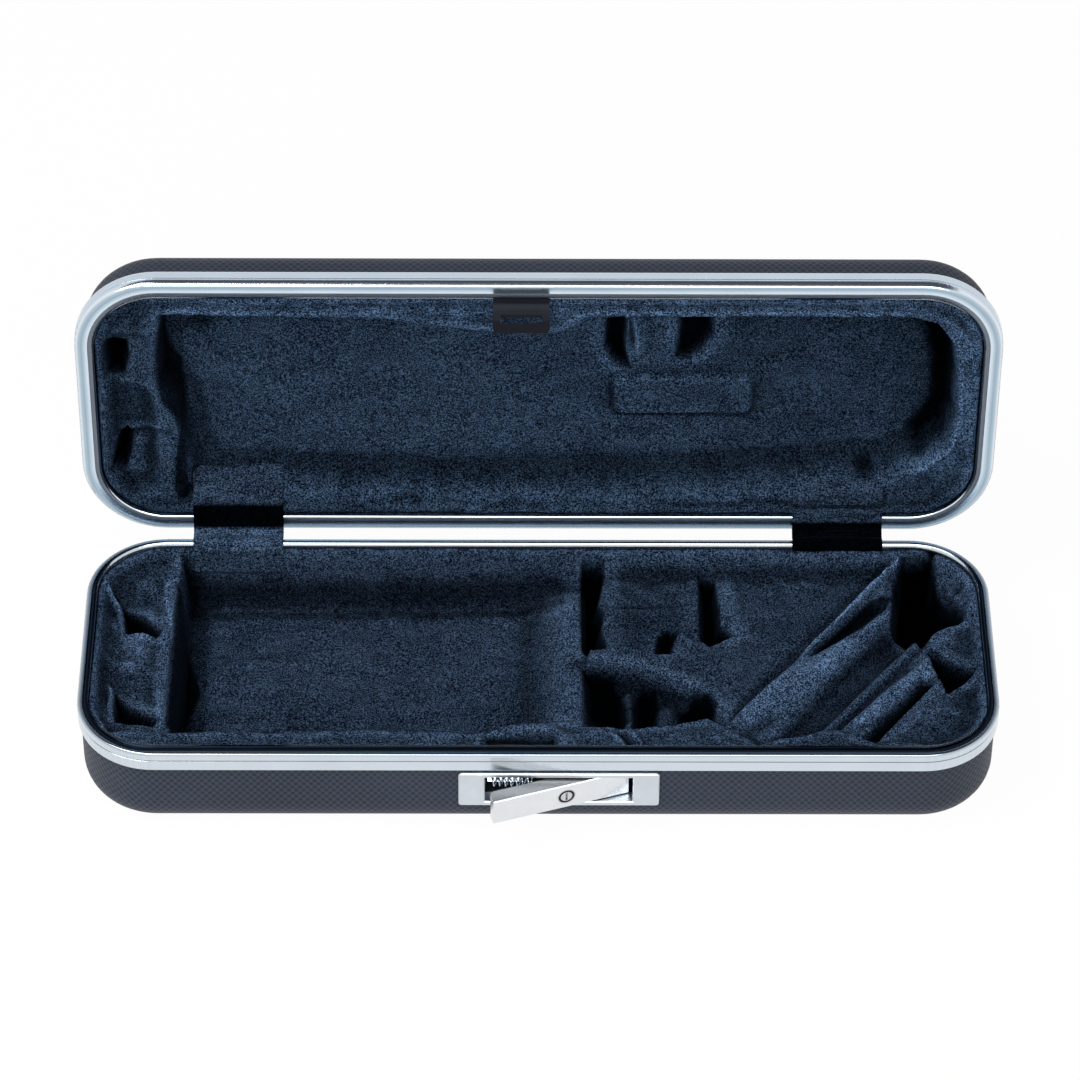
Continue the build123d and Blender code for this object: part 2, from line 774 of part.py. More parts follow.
# Hinge leaves and pins
base_jog = back + base_rim_bulge + leaf_clearance
jog_top = parting - rim_height - leaf_clearance
jog_bottom = jog_top - (base_jog - back)
plate_top = parting - knuckle_radius - 2 * knuckle_gap
base_leaf_low = jog_bottom - base_leaf_height
lid_jog = back + lid_rim_bulge + leaf_clearance
shelf_low = rim_height + leaf_clearance
shelf_high = shelf_low + leaf_thickness
lid_plate_low = knuckle_radius + 2 * knuckle_gap
knuckle_length = (hinge_length - 2 * knuckle_gap) / 3
base_arm_foot = (base_jog + leaf_thickness / 2, plate_top - leaf_thickness / 2)
lid_arm_foot = (lid_jog + leaf_thickness / 2, lid_plate_low + leaf_thickness / 2)
base_leaf_outline = [
    (back, base_leaf_low),
    (back + leaf_thickness, base_leaf_low),
    (back + leaf_thickness, jog_bottom - leaf_thickness / 2),
    (base_jog + leaf_thickness, jog_top - leaf_thickness / 2),
    (base_jog + leaf_thickness, plate_top),
    (base_jog, plate_top),
    (base_jog, jog_top),
    (back, jog_bottom),
]
lid_leaf_outline = [
    (back, shelf_low),
    (lid_jog, shelf_low),
    (lid_jog, lid_plate_low),
    (lid_jog + leaf_thickness, lid_plate_low),
    (lid_jog + leaf_thickness, shelf_high),
    (back + leaf_thickness, shelf_high),
    (back + leaf_thickness, shelf_high + lid_leaf_height),
    (back, shelf_high + lid_leaf_height),
]


def knuckle(section, axis_place, foot, length):
    """One knuckle with the arm that joins it to its leaf."""
    with BuildSketch(section) as profile:
        with Locations(axis_place):
            Circle(knuckle_radius)
        with Locations(foot):
            Circle(leaf_thickness / 2)
        make_hull()
    extrude(profile.sketch, amount=length)


for side_name, side in (("left", -1), ("right", 1)):
    start = side * hinge_offset - hinge_length / 2
    with BuildPart() as base_hinge_leaf:
        strip(Plane.YZ.offset(start), base_leaf_outline, hinge_length)
        for step in (0, 2):
            knuckle_start = start + step * (knuckle_length + knuckle_gap)
            knuckle(Plane.YZ.offset(knuckle_start), (hinge_y, parting), base_arm_foot, knuckle_length)
        discs(Plane.YZ.offset(start), [(hinge_y, parting)], pin_radius, hinge_length, Mode.SUBTRACT)
        discs(Plane.XZ.offset(-back), base_rivet_places, rivet_radius, -2 * leaf_thickness, Mode.SUBTRACT)
    finish(base_hinge_leaf, f"base_hinge_leaf_{side_name}")

    with BuildPart() as lid_hinge_leaf:
        strip(lid_section(start), lid_leaf_outline, hinge_length)
        knuckle_start = start + knuckle_length + knuckle_gap
        knuckle(lid_section(knuckle_start), (hinge_y, 0), lid_arm_foot, knuckle_length)
        discs(lid_section(start), [(hinge_y, 0)], pin_radius + pin_clearance, hinge_length, Mode.SUBTRACT)
        discs(lid_wall(back), lid_rivet_places, rivet_radius, -2 * leaf_thickness, Mode.SUBTRACT)
    finish(lid_hinge_leaf, f"lid_hinge_leaf_{side_name}")

    with BuildPart() as hinge_pin:
        discs(Plane.YZ.offset(start), [(hinge_y, parting)], pin_radius, hinge_length)
    finish(hinge_pin, f"hinge_pin_{side_name}")

    strap_middle = strap_clearance + strap_thickness / 2
    tongue_top = parting + tongue_rise + strap_middle
    strap_path = [
        lid_point(back - strap_reach, lining_drop - strap_middle),
        lid_point(back - lip_inset - strap_middle, lining_drop - strap_middle),
        lid_point(back - lip_inset - strap_middle, parting_gap - strap_middle),
        lid_point(hinge_y - pivot_offset * 0.6, parting_gap - strap_middle),
        (back + base_rim_bulge / 2, parting + strap_middle),
        (back - wall + strap_thickness, tongue_top),
        (back - rim_inset - strap_middle, tongue_top),
        (back - rim_inset - strap_middle, velvet_top + strap_middle),
        (trough_back, velvet_top + strap_middle),
    ]
    with BuildPart() as hinge_strap:
        with BuildSketch(Plane.YZ.offset(side * hinge_offset - strap_width / 2)):
            with BuildLine():
                FilletPolyline(*strap_path, radius=strap_bend)
            trace(line_width=strap_thickness)
        extrude(amount=strap_width)
    finish(hinge_strap, f"hinge_strap_{side_name}")


def rivets(outer_plane, inner_plane, places, inward):
    """Rivets with a head on both faces of the joint."""
    grip = wall + leaf_thickness
    discs(outer_plane, places, rivet_radius, inward * grip)
    discs(outer_plane, places, rivet_head_radius, -inward * rivet_head)
    discs(inner_plane, places, rivet_head_radius, inward * rivet_head)


# Rivets of the hinge leaves
with BuildPart() as base_hinge_rivets:
    rivets(
        Plane.XZ.offset(-(back + leaf_thickness)), Plane.XZ.offset(-(back - wall)), base_rivet_places, 1
    )
finish(base_hinge_rivets, "base_hinge_rivets")

with BuildPart() as lid_hinge_rivets:
    rivets(lid_wall(back + leaf_thickness), lid_wall(back - wall), lid_rivet_places, 1)
finish(lid_hinge_rivets, "lid_hinge_rivets")

# Cover over the joint of the lid rim
with BuildPart() as rim_splice:
    splice_low = parting_gap + lid_rim_rounding
    block(
        (splice_x - splice_length / 2, splice_x + splice_length / 2),
        (back + lid_rim_bulge, back + lid_rim_bulge + splice_thickness),
        (splice_low, splice_low + splice_height),
        frame=lid_frame,
    )
finish(rim_splice, "rim_splice")
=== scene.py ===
import math

import bmesh
import bpy
import numpy as np
from mathutils import Matrix, Vector


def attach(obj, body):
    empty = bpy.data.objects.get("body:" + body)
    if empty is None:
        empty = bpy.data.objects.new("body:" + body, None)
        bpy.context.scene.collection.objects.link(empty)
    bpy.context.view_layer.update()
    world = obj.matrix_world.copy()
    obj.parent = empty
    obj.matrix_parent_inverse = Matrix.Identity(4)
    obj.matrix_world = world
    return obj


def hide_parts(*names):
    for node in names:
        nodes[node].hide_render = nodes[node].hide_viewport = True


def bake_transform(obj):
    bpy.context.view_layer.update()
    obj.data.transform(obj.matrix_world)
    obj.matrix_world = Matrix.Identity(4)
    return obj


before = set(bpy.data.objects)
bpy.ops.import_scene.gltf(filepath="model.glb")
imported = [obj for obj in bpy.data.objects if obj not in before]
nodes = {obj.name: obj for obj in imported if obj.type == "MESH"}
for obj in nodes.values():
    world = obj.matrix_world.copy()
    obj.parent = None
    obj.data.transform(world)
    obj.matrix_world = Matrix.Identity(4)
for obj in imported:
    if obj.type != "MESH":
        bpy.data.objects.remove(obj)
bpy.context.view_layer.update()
scene = bpy.context.scene
MM = 0.001

# Sizes shared with the CAD source, in millimetres
PARTING = 36.0
HINGE_Y = 53.6
OPEN = math.radians(93.0)
LENGTH, WIDTH, CORNER = 300.0, 100.0, 25.0
CORE_X, CORE_Y = LENGTH / 2 - CORNER, WIDTH / 2 - CORNER
BASE_EDGE, LID_EDGE, LID_HEIGHT = 12.5, 10.0, 24.0
# The linings: how far inside the case's outline they end, their thickness, and their depth where flat
BASE_INSET, LID_INSET = 3.0, 4.0
BASE_THICKNESS, LID_THICKNESS = 2.4, 0.8
COVER = 2.5
STRAP_X, STRAP_WIDTH = 101.2, 30.4

# ---- frames


def lid_to_world(points):
    """Points of the closed lid (x, y, height over the parting plane) to where the open lid holds them."""
    p = np.asarray(points, float)
    c, s = math.cos(OPEN), math.sin(OPEN)
    y, z = p[:, 1] - HINGE_Y, p[:, 2]
    return np.column_stack([p[:, 0], HINGE_Y + y * c + z * s, PARTING - y * s + z * c])


# ---- material helpers


class Tree:
    """Adds nodes to a material, or to the world, and links them."""

    def __init__(self, name, world=None):
        self.material = world or bpy.data.materials.new(name)
        self.material.use_nodes = True
        self.nodes = self.material.node_tree.nodes
        self.links = self.material.node_tree.links
        self.shader = self.nodes.get("Principled BSDF")

    def put(self, socket, value):
        if isinstance(value, bpy.types.NodeSocket):
            self.links.new(value, socket)
        else:
            socket.default_value = value

    def add(self, kind, inputs=(), **settings):
        """A node with its settings, and then its inputs by name or number."""
        node = self.nodes.new(kind)
        for key, value in settings.items():
            setattr(node, key, value)
        for key, value in dict(inputs).items():
            self.put(node.inputs[key], value)
        return node

    def math(self, operation, *values, clamp=False):
        inputs = dict(enumerate(values))
        return self.add("ShaderNodeMath", inputs, operation=operation, use_clamp=clamp).outputs[0]

    def times(self, a, b):
        return self.math("MULTIPLY", a, b)

    def plus(self, a, b):
        return self.math("ADD", a, b)

    def minus(self, a, b):
        return self.math("SUBTRACT", a, b)

    def vector(self, operation, a, inputs=(), output="Vector"):
        inputs = {0: a, **dict(inputs)}
        return self.add("ShaderNodeVectorMath", inputs, operation=operation).outputs[output]

    def split(self, vector):
        return self.add("ShaderNodeSeparateXYZ", {0: vector}).outputs

    def mix(self, factor, a, b, blend="MIX"):
        inputs = {"Factor": factor, "A": a, "B": b}
        return self.add("ShaderNodeMix", inputs, data_type="RGBA", blend_type=blend).outputs["Result"]

    def place(self, lid=False):
        """Position in millimetres; with lid, as if the lid were closed, heights from the parting plane."""
        coords = self.add("ShaderNodeTexCoord").outputs["Object"]
        where = self.vector("SCALE", coords, {"Scale": 1 / MM})
        if not lid:
            return where
        shift = self.vector("SUBTRACT", where, {1: (0, HINGE_Y, PARTING)})
        turn = self.add("ShaderNodeVectorRotate", {"Vector": shift, "Angle": OPEN}, rotation_type="X_AXIS")
        return self.vector("ADD", turn.outputs[0], {1: (0, HINGE_Y, 0)})

    def noise(self, where, size, detail=2.0, roughness=0.5, distortion=0.0, stretch=None):
        """Noise over a position in millimetres, with features of a size in millimetres."""
        if stretch:
            where = self.add("ShaderNodeMapping", {"Vector": where, "Scale": stretch}).outputs[0]
        inputs = {"Vector": where, "Scale": 1 / size, "Detail": detail}
        inputs.update({"Roughness": roughness, "Distortion": distortion})
        return self.add("ShaderNodeTexNoise", inputs).outputs["Fac"]

    def ramp(self, factor, stops):
        node = self.add("ShaderNodeValToRGB", {0: factor})
        elements = node.color_ramp.elements
        while len(elements) < len(stops):
            elements.new(0.5)
        for element, (position, colour) in zip(elements, stops):
            element.position = position
            element.color = (*colour, 1)
        return node.outputs[0]

    def grey(self, factor, low, high):
        """A factor of 0 to 1 spread between two values."""
        return self.add("ShaderNodeMapRange", {"Value": factor, "To Min": low, "To Max": high}).outputs[0]

    def bump(self, height, distance, strength=1.0, normal=None):
        inputs = {"Height": height, "Distance": distance * MM, "Strength": strength}
        if normal is not None:
            inputs["Normal"] = normal
        return self.add("ShaderNodeBump", inputs).outputs[0]

    def set(self, **values):
        """Values for the shader's inputs; the material."""
        for key, value in values.items():
            self.put(self.shader.inputs[key.replace("_", " ")], value)
        return self.material

    def blend_seen(self, dull, bright, output, share=1.0):
        """Show camera and glossy rays a share of the bright shader, and all others the dull one."""
        path = self.add("ShaderNodeLightPath").outputs
        seen = self.math("MAXIMUM", path["Is Camera Ray"], path["Is Glossy Ray"])
        both = self.add("ShaderNodeMixShader", {0: self.times(seen, share), 1: dull, 2: bright})
        self.put(self.nodes[output].inputs["Surface"], both.outputs[0])


def from_core(t, x, y):
    """How far a place lies outside the core between the corners' centres: along x, along y, and straight."""
    dx, dy = (
        t.math("MAXIMUM", t.minus(t.math("ABSOLUTE", value), core), 0.0)
        for value, core in ((x, CORE_X), (y, CORE_Y))
    )
    return dx, dy, t.math("SQRT", t.plus(t.times(dx, dx), t.times(dy, dy)))


# The grain's diamonds round the case and up its wall, in millimetres
GRAIN_PITCH = (2.45, 2.9)


def shell_material(name, lid):
    """Moulded plastic with a diamond grain that runs round the case."""
    t = Tree(name)
    where = t.place(lid)
    x, y, z = t.split(where)
    edge = LID_EDGE if lid else BASE_EDGE
    if lid:
        z = t.minus(LID_HEIGHT, z)
    dx, dy, out = from_core(t, x, y)
    turn = t.times(t.math("ARCTAN2", dx, dy), CORNER)
    round_about = t.plus(t.math("MINIMUM", t.math("ABSOLUTE", x), CORE_X), turn)
    round_about = t.minus(round_about, t.math("MINIMUM", t.math("ABSOLUTE", y), CORE_Y))
    over = t.minus(out, CORNER - edge)
    below = t.math("MAXIMUM", t.minus(edge, z), 0.0)
    bend = t.times(t.math("ARCTAN2", below, t.math("MAXIMUM", over, 0.001)), edge)
    up = t.minus(t.math("MAXIMUM", z, edge), bend)
    grain = []
    for pair in ((round_about, up), (x, y)):
        turns = (t.times(value, 2 * math.pi / pitch) for value, pitch in zip(pair, GRAIN_PITCH))
        grain.append(t.times(*(t.math("COSINE", turn) for turn in turns)))
    flat = t.math("GREATER_THAN", 0.35, z)
    grain = t.add("ShaderNodeMix", {0: flat, 2: grain[0], 3: grain[1]}, data_type="FLOAT").outputs[0]
    lattice = t.math("MULTIPLY_ADD", grain, 0.5, 0.5)
    sharp = t.math("SMOOTH_MIN", lattice, 0.62, 0.3)
    fine = t.noise(where, 0.35, 3, 0.6)
    height = t.math("MULTIPLY_ADD", fine, 0.1, sharp)
    broad = t.noise(where, 30, 3, 0.55)
    shade = t.plus(t.times(lattice, 0.7), t.times(broad, 0.3))
    # The lid's shell has a painted shade, a little darker, as in the photograph
    high = (0.030, 0.039, 0.061) if lid else (0.038, 0.049, 0.075)
    colour = t.ramp(shade, [(0.12, (0.006, 0.009, 0.019)), (0.85, high)])
    rough = t.grey(fine, 0.42, 0.62)
    normal = t.bump(height, 0.3, 0.85)
    return t.set(Base_Color=colour, Roughness=rough, Specular_IOR_Level=0.25, Normal=normal)


# Painted reflection and shade on each rim by its distance across the wall, in millimetres from the shell's
# outer face
BASE_BANDS = [
    (-2.75, (0.8, 0.8, 0.8)), (-2.58, (0.72, 0.72, 0.72)), (-2.40, (0.10, 0.12, 0.15)),
    (-1, (0.08, 0.10, 0.13)), (-0.2, (0.18, 0.21, 0.25)), (0.6, (0.45, 0.5, 0.54)), (1.2, (1, 1, 1)),
]
LID_BANDS = [
    (-3.7, (1, 1, 1)), (-2.95, (1, 1, 1)), (-2.75, (0.35, 0.40, 0.46)), (-2.3, (0.95, 0.97, 1)),
    (-1, (0.86, 0.93, 0.97)), (0.4, (0.43, 0.53, 0.60)), (1.4, (0.56, 0.65, 0.71)), (2.2, (1, 1, 1)),
    (2.9, (0.64, 0.70, 0.76)),
]
RIM_COLOUR, RIM_ROUGHNESS = (0.80, 0.86, 0.92), 0.17


def rim_material(name, lid):
    """Satin anodised extrusion with faint drawing lines along it, its edges crowned across the wall."""
    t = Tree(name)
    where = t.place(lid)
    x, y, z = t.split(where)
    out = t.minus(from_core(t, x, y)[2], CORNER)
    # Each crown starts at a place, runs one way from it, and steepens at a rate
    crowns = [(out, -0.4, 1, 0.07), (out, -2.7, -1, 0.5)]
    if not lid:
        crowns = [(out, -0.3, 1, 0.20), (out, -0.3, -1, 0.16), (z, 34.6, 1, 0.16)]
    crowned = 0.0
    for value, start, way, rate in crowns:
        past = t.math("MAXIMUM", t.math("MULTIPLY_ADD", value, way, -start * way), 0.0)
        drop = t.times(t.times(past, past), -rate)
        if value is not out:
            drop = t.times(drop, t.math("LESS_THAN", out, -2.2))
        crowned = t.plus(crowned, drop)
    lines = t.noise(where, 0.25, 3, 0.65, stretch=(0.02, 0.02, 1.0))
    cloud = t.noise(where, 14, 2, 0.5)
    tint = t.ramp(cloud, [(0.3, tuple(0.95 * c for c in RIM_COLOUR)), (0.7, RIM_COLOUR)])
    bands = LID_BANDS if lid else BASE_BANDS
    # The ramp's 0 to 1 stand for 4 mm inside the shell's face to 4 mm outside it
    band = t.ramp(t.math("MULTIPLY_ADD", out, 1 / 8, 0.5), [((w + 4) / 8, shade) for w, shade in bands])
    # The bands paint reflection and shade across the rim
    tint = t.mix(1.0, tint, band, "MULTIPLY")
    rough = t.grey(lines, RIM_ROUGHNESS - 0.03, RIM_ROUGHNESS + 0.05)
    bead = t.bump(crowned, 1.0, 1.0)
    return t.set(Base_Color=tint, Metallic=1.0, Roughness=rough, Normal=t.bump(lines, 0.012, 0.4, bead))


def metal(name, colour, roughness, grain=0.3, depth=0.02, stretch=None, metallic=1.0, specular=0.5):
    """Metal with a fine grain and a little uneven polish."""
    t = Tree(name)
    where = t.place()
    fine = t.noise(where, grain, 3, 0.6, stretch=stretch)
    cloud = t.noise(where, 6, 3, 0.6)
    tint = t.ramp(cloud, [(0.3, tuple(0.9 * c for c in colour)), (0.7, colour)])
    rough = t.grey(t.times(fine, cloud), roughness * 0.75, roughness * 1.6)
    t.set(Metallic=metallic, Specular_IOR_Level=specular)
    return t.set(Base_Color=tint, Roughness=rough, Normal=t.bump(fine, depth, 0.6))


def lever_material(name):
    """Satin face, with darker, coarser faces above and below; their darkness is painted shade."""
    t = Tree(name)
    where = t.place()
    fine = t.noise(where, 0.2, 3, 0.6)
    cloud = t.noise(where, 6, 3, 0.6)
    facing = t.split(t.add("ShaderNodeNewGeometry").outputs["Normal"])
    # Painted shade: faces turned up or down get a darker colour
    top_bottom_painted_shade = t.math("POWER", t.math("ABSOLUTE", facing["Z"]), 4.0, clamp=True)
    face = t.ramp(cloud, [(0.3, (0.74, 0.76, 0.79)), (0.7, (0.80, 0.82, 0.85))])
    edge = t.ramp(fine, [(0.35, (0.16, 0.155, 0.15)), (0.65, (0.30, 0.295, 0.29))])
    tint = t.mix(top_bottom_painted_shade, face, edge)
    rough = t.grey(t.times(fine, cloud), 0.22, 0.46)
    rough = t.plus(rough, t.times(top_bottom_painted_shade, 0.1))
    return t.set(Base_Color=tint, Metallic=1.0, Roughness=rough, Normal=t.bump(fine, 0.015, 0.6))


PILE_DARK = (0.0009, 0.0016, 0.0052)


def velvet_material(name, lid=False, light=(0.051, 0.086, 0.145)):
    """Short pile velvet: speckled tufts, crushed streaky patches, and shade and light painted into its
    colour.
    """
    t = Tree(name)
    where = t.place(lid)
    pile = t.noise(where, 0.5, 1.5, 0.7)
    tuft = t.noise(where, 1.7, 2, 0.6)
    crush = t.noise(where, 12, 3, 0.6, 0.8, stretch=(0.6, 1.0, 1.0))
    level = t.plus(t.times(pile, 0.72), t.times(tuft, 0.16))
    level = t.plus(level, t.times(crush, 0.12))
    middle = tuple(0.5 * a + 0.22 * b for a, b in zip(PILE_DARK, light))
    colour = t.ramp(level, [(0.40, PILE_DARK), (0.495, middle), (0.60, light)])
    # Painted shade and light kept on each point: the colour darkens in hollows and lightens along ridges
    share = t.add("ShaderNodeAttribute", attribute_name="painted_light").outputs["Fac"]
    painted_light = t.mix(1.0, colour, share, "MULTIPLY")
    height = t.plus(t.times(pile, 0.6), t.times(tuft, 0.6))
    soft = t.bump(crush, 1.0, 0.3)
    normal = t.bump(height, 0.3, 0.8, soft)
    t.set(Sheen_Weight=0.08, Sheen_Roughness=0.4, Sheen_Tint=(0.10, 0.16, 0.27, 1))
    return t.set(Base_Color=painted_light, Roughness=0.95, Specular_IOR_Level=0.0, Normal=normal)


# ---- meshes


def make_piece(name, points, faces, painted_light=None, weld=False, rounded=True):
    """A piece from points in millimetres, its normals outward, without points that no face uses."""
    mesh = bpy.data.meshes.new(name)
    mesh.from_pydata((np.asarray(points) * MM).tolist(), [], faces)
    # Painted shade and light, kept on each point for the velvet's colour
    if painted_light is not None:
        shade = mesh.attributes.new("painted_light", "FLOAT", "POINT")
        shade.data.foreach_set("value", painted_light.astype(np.float32))
    work = bmesh.new()
    work.from_mesh(mesh)
    bmesh.ops.delete(work, geom=[v for v in work.verts if not v.link_faces], context="VERTS")
    if weld:
        bmesh.ops.remove_doubles(work, verts=work.verts, dist=1e-6)
    bmesh.ops.recalc_face_normals(work, faces=work.faces)
    work.to_mesh(mesh)
    work.free()
    mesh.polygons.foreach_set("use_smooth", [rounded] * len(mesh.polygons))
    piece = bpy.data.objects.new(name, mesh)
    scene.collection.objects.link(piece)
    return piece


# ---- linings


def smooth(t):
    t = np.clip(t, 0, 1)
    return t * t * t * (t * (6 * t - 15) + 10)


def rounded_distance(x, y, x0, x1, y0, y1, radius):
    """Signed distance to a rounded rectangle, negative inside."""
    dx = np.abs(x - (x0 + x1) / 2) - (x1 - x0) / 2 + radius
    dy = np.abs(y - (y0 + y1) / 2) - (y1 - y0) / 2 + radius
    outside = np.hypot(np.maximum(dx, 0), np.maximum(dy, 0))
    return outside + np.minimum(np.maximum(dx, dy), 0) - radius


def line_distance(x, y, points):
    """Distance to a run of straight pieces, and how far along it the nearest point lies, from 0 to 1."""
    points = np.asarray(points, float)
    best = np.full(x.shape, 1e9)
    along = np.zeros(x.shape)
    steps = np.hypot(*np.diff(points, axis=0).T)
    total, walked = steps.sum(), 0.0
    for (ax, ay), (bx, by), step in zip(points[:-1], points[1:], steps):
        t = np.clip(((x - ax) * (bx - ax) + (y - ay) * (by - ay)) / step**2, 0, 1)
        d = np.hypot(x - ax - t * (bx - ax), y - ay - t * (by - ay))
        near = d < best
        best = np.where(near, d, best)
        along = np.where(near, (walked + t * step) / total, along)
        walked += step
    return best, along


def fold(x, y, points, height, width):
    """A crease or soft ridge along a line, fading out at its ends."""
    d, along = line_distance(x, y, points)
    ends = np.clip(np.minimum(along, 1 - along) * 6, 0, 1)
    return height * ends * np.exp(-((d / width) ** 2))


def waves(x, y, seed, count, low, high):
    """Smooth random unevenness, from a sum of plane waves between two wavelengths."""
    source = np.random.default_rng(seed)
    total = np.zeros_like(x)
    for _ in range(count):
        angle = source.uniform(0, 2 * math.pi)
        wavelength = source.uniform(low, high)
        phase = source.uniform(0, 2 * math.pi)
        total += np.sin(2 * math.pi * (x * math.cos(angle) + y * math.sin(angle)) / wavelength + phase)
    return total / math.sqrt(count)


def polygon_distance(x, y, points):
    """Signed distance to a polygon, negative inside."""
    best = np.full(x.shape, 1e9)
    inside = np.zeros(x.shape, bool)
    for (ax, ay), (bx, by) in zip(points, points[1:] + points[:1]):
        ex, ey = bx - ax, by - ay
        t = np.clip(((x - ax) * ex + (y - ay) * ey) / (ex * ex + ey * ey), 0, 1)
        best = np.minimum(best, np.hypot(x - ax - t * ex, y - ay - t * ey))
        crosses = (ay > y) != (by > y)
        inside ^= crosses & (x < ax + (y - ay) * ex / (ey if ey else 1e-9))
    return np.where(inside, -best, best)


def deepen(depth, distance, bottom, wall, shift=0.3):
    """Sink a hollow of a given depth into a surface, over a soft wall."""
    inside = smooth((-distance) / wall + shift)
    return np.maximum(depth, depth + (bottom - depth) * inside)


def mound(x, y, at, size, height):
    """A soft lump, higher than what lies round it."""
    return height * np.exp(-(((x - at[0]) / size[0]) ** 2) - ((y - at[1]) / size[1]) ** 2)


def hump(value, at, width, power=2):
    """A soft ridge of height 1 across one direction."""
    return np.exp(-(((value - at) / width) ** power))


def sink(depth, x, y, hollows):
    """Deepen hollows, each a polygon with its bottom, its wall's width and its wall's shift."""
    for points, bottom, wall, shift in hollows:
        depth = deepen(depth, polygon_distance(x, y, points), bottom, wall, shift)
    return depth


def painted_folds(folds):
    """The folds that also paint light or shade on the pile, each a line with its strength and width."""
    return [(points, *shade) for points, _, _, *shade in folds if shade]


# The cushions at the right lie in slanting rolls, turned by this from the x axis
ROLL = math.radians(52.8)


def roll_frame(x, y):
    """Distances across and along the rolls, in millimetres."""
    c, s = math.cos(ROLL), math.sin(ROLL)
    from_x, from_y = x - 60, y + 34
    return from_x * s - from_y * c, from_x * c + from_y * s


# Outlines of the base's hollows in x and y, seen from above
FRONT_EDGE = [
    (-150, -37), (-120, -37.5), (-86, -37.1), (-53, -36.1), (-26, -37.5), (-17, -37), (-8, -34.6), (2, -32.2),
    (10, -31.2), (18, -31.4), (33, -32.9), (45, -31), (54, -29.2), (59, -32.5), (65.6, -38.6), (71, -41.6),
    (78.7, -39.3), (85.2, -38.5), (91.8, -36.2), (97.3, -35), (103.7, -37.7), (110, -41.8), (150, -42),
]
POCKET = [
    (15.4, 6), (26, 4.8), (34, 2.6), (41, -1.2), (51.5, -7), (58, -15), (61, -26), (54, -30), (44, -33),
    (30, -35), (15.8, -34),
]
SLOT_LEFT = [
    (15.3, 45), (21.8, 44.5), (20.6, 37), (19.8, 32), (21.6, 27), (20.6, 20), (22.4, 11.5), (17.5, 10.5),
    (15.3, 16),
]
SLOT_RIGHT = [(55.2, 42.5), (59.6, 42), (60.6, 30), (60.8, 22), (65, 17), (57.5, 12.2), (54.9, 15)]
ARCH = [(39.4, 8.5), (40.6, 15.5), (43.4, 18.6), (46, 16.6), (44.8, 13), (44.2, 8.5)]
BELL_END = [
    (123.5, 45), (120.8, 38), (119, 19), (128.5, 9.2), (141.3, 16.2), (142.3, 22.5), (135.2, 38.5), (133, 45),
]
TRIANGLE = [(129.8, 3.4), (144.8, -6.8), (135.2, -16.2)]
HOLE_BACK = [(-138.6, 23.5), (-133, 21), (-126, 12.6), (-127.2, 10.4), (-132.2, 11.4), (-136.9, 9.8)]
HOLE_FRONT = [(-139, -17.5), (-134, -22.8), (-125.2, -28.2), (-126.5, -31), (-138.2, -29.5)]
# Folds: a line, its height and width, and for some the strength and width of the light or shade painted along
# it
BASE_FOLDS = [
    ([(-121.2, 29), (-120.8, 9), (-121.4, -10), (-122, -35)], 1.9, 0.8),
    ([(-125.6, 27), (-124.9, 31), (-122.2, 32.2), (-119.4, 28.4), (-119.2, 24.4), (-121.6, 18)], 2.1, 0.9),
    ([(-124.9, 29), (-124.9, 9), (-125.3, -10), (-123.8, -31)], 0.9, 0.9),
    ([(-146, 33.5), (-142.6, 27.6), (-139.4, 21), (-138.2, 14), (-138, 7)], 3.2, 1),
    ([(-142.8, -11), (-140.6, -16), (-139.8, -23), (-139.4, -31)], 2.8, 1),
    ([(-139.5, 7.6), (-134.6, 9.2), (-130.6, 9), (-125.6, 5.4)], 1.5, 1),
    ([(-144, -34.5), (-139, -32.6), (-130, -33), (-124.4, -36.5)], 1.3, 1.2),
    ([(-145, 2), (-138, -4), (-131, -3)], 0.9, 2), ([(-136, 38), (-129, 33), (-126.5, 24)], 1, 1.6),
    ([(-116, 30), (-110, 31), (-100, 29)], 0.5, 1.6),
    ([(-112, 2), (-101, 14), (-86, 16), (-70, 12)], 0.7, 2.2),
    ([(-108, -24), (-95, -20), (-70, -24)], 0.35, 3),
    ([(21.5, 31.4), (32, 30.6), (44, 31.8), (54, 32.2)], -1.3, 0.9),
    ([(22, 10.6), (31, 9.9), (39, 10.4)], 0.9, 0.9),
    ([(44.5, 18.5), (47.5, 16.8), (50, 13.5), (53.5, 10.5)], 1.6, 1.2),
    ([(118.2, 43), (116.6, 33), (112, 25)], 1.3, 0.9),
    ([(128.6, 7), (133, 9.6), (138.6, 12.6), (146.6, 17.4)], 1.7, 0.9),
    ([(129.5, 4.6), (134, -8), (134.6, -17)], 1.2, 0.9),
    ([(135.8, 35.6), (138.2, 31.4), (137.2, 27.6)], 2, 0.7, 1.2, 0.6),
    ([(138, 38.4), (141.2, 33.8), (140.2, 28.2)], 2, 0.7, 1.2, 0.6),
    ([(141, 39), (144.4, 33), (143.4, 26.4)], 1.8, 0.7, 1, 0.6),
    ([(144.4, 30), (145.4, 24), (143.2, 19)], 1.4, 0.8),
    (
        [(-21.7, -45.6), (-17.8, -41.2), (-12.5, -37.8), (-4, -36.2), (3, -36), (7.6, -38.8), (9.9, -43.5)],
        1.5, 1.9,
    ),
    ([(25, -36.6), (28.6, -40.8), (31.4, -46.4)], -1.5, 0.8),
    ([(23.4, -38.4), (26.4, -42.2), (28.6, -46.6)], 1.2, 0.8, 0.8, 0.6),
    ([(28.6, -36), (31.6, -40.4), (34.6, -46.6)], 1.2, 0.9, 0.8, 0.6),
    ([(56, -37), (60, -42), (64, -46)], 0.8, 1.1), ([(71.5, -42), (72.5, -44.5), (75, -46.5)], -0.8, 1),
    ([(110, -42), (113, -44), (118, -46)], -0.6, 1.2), ([(124, -26), (133, -24), (142, -28)], 0.6, 2),
]


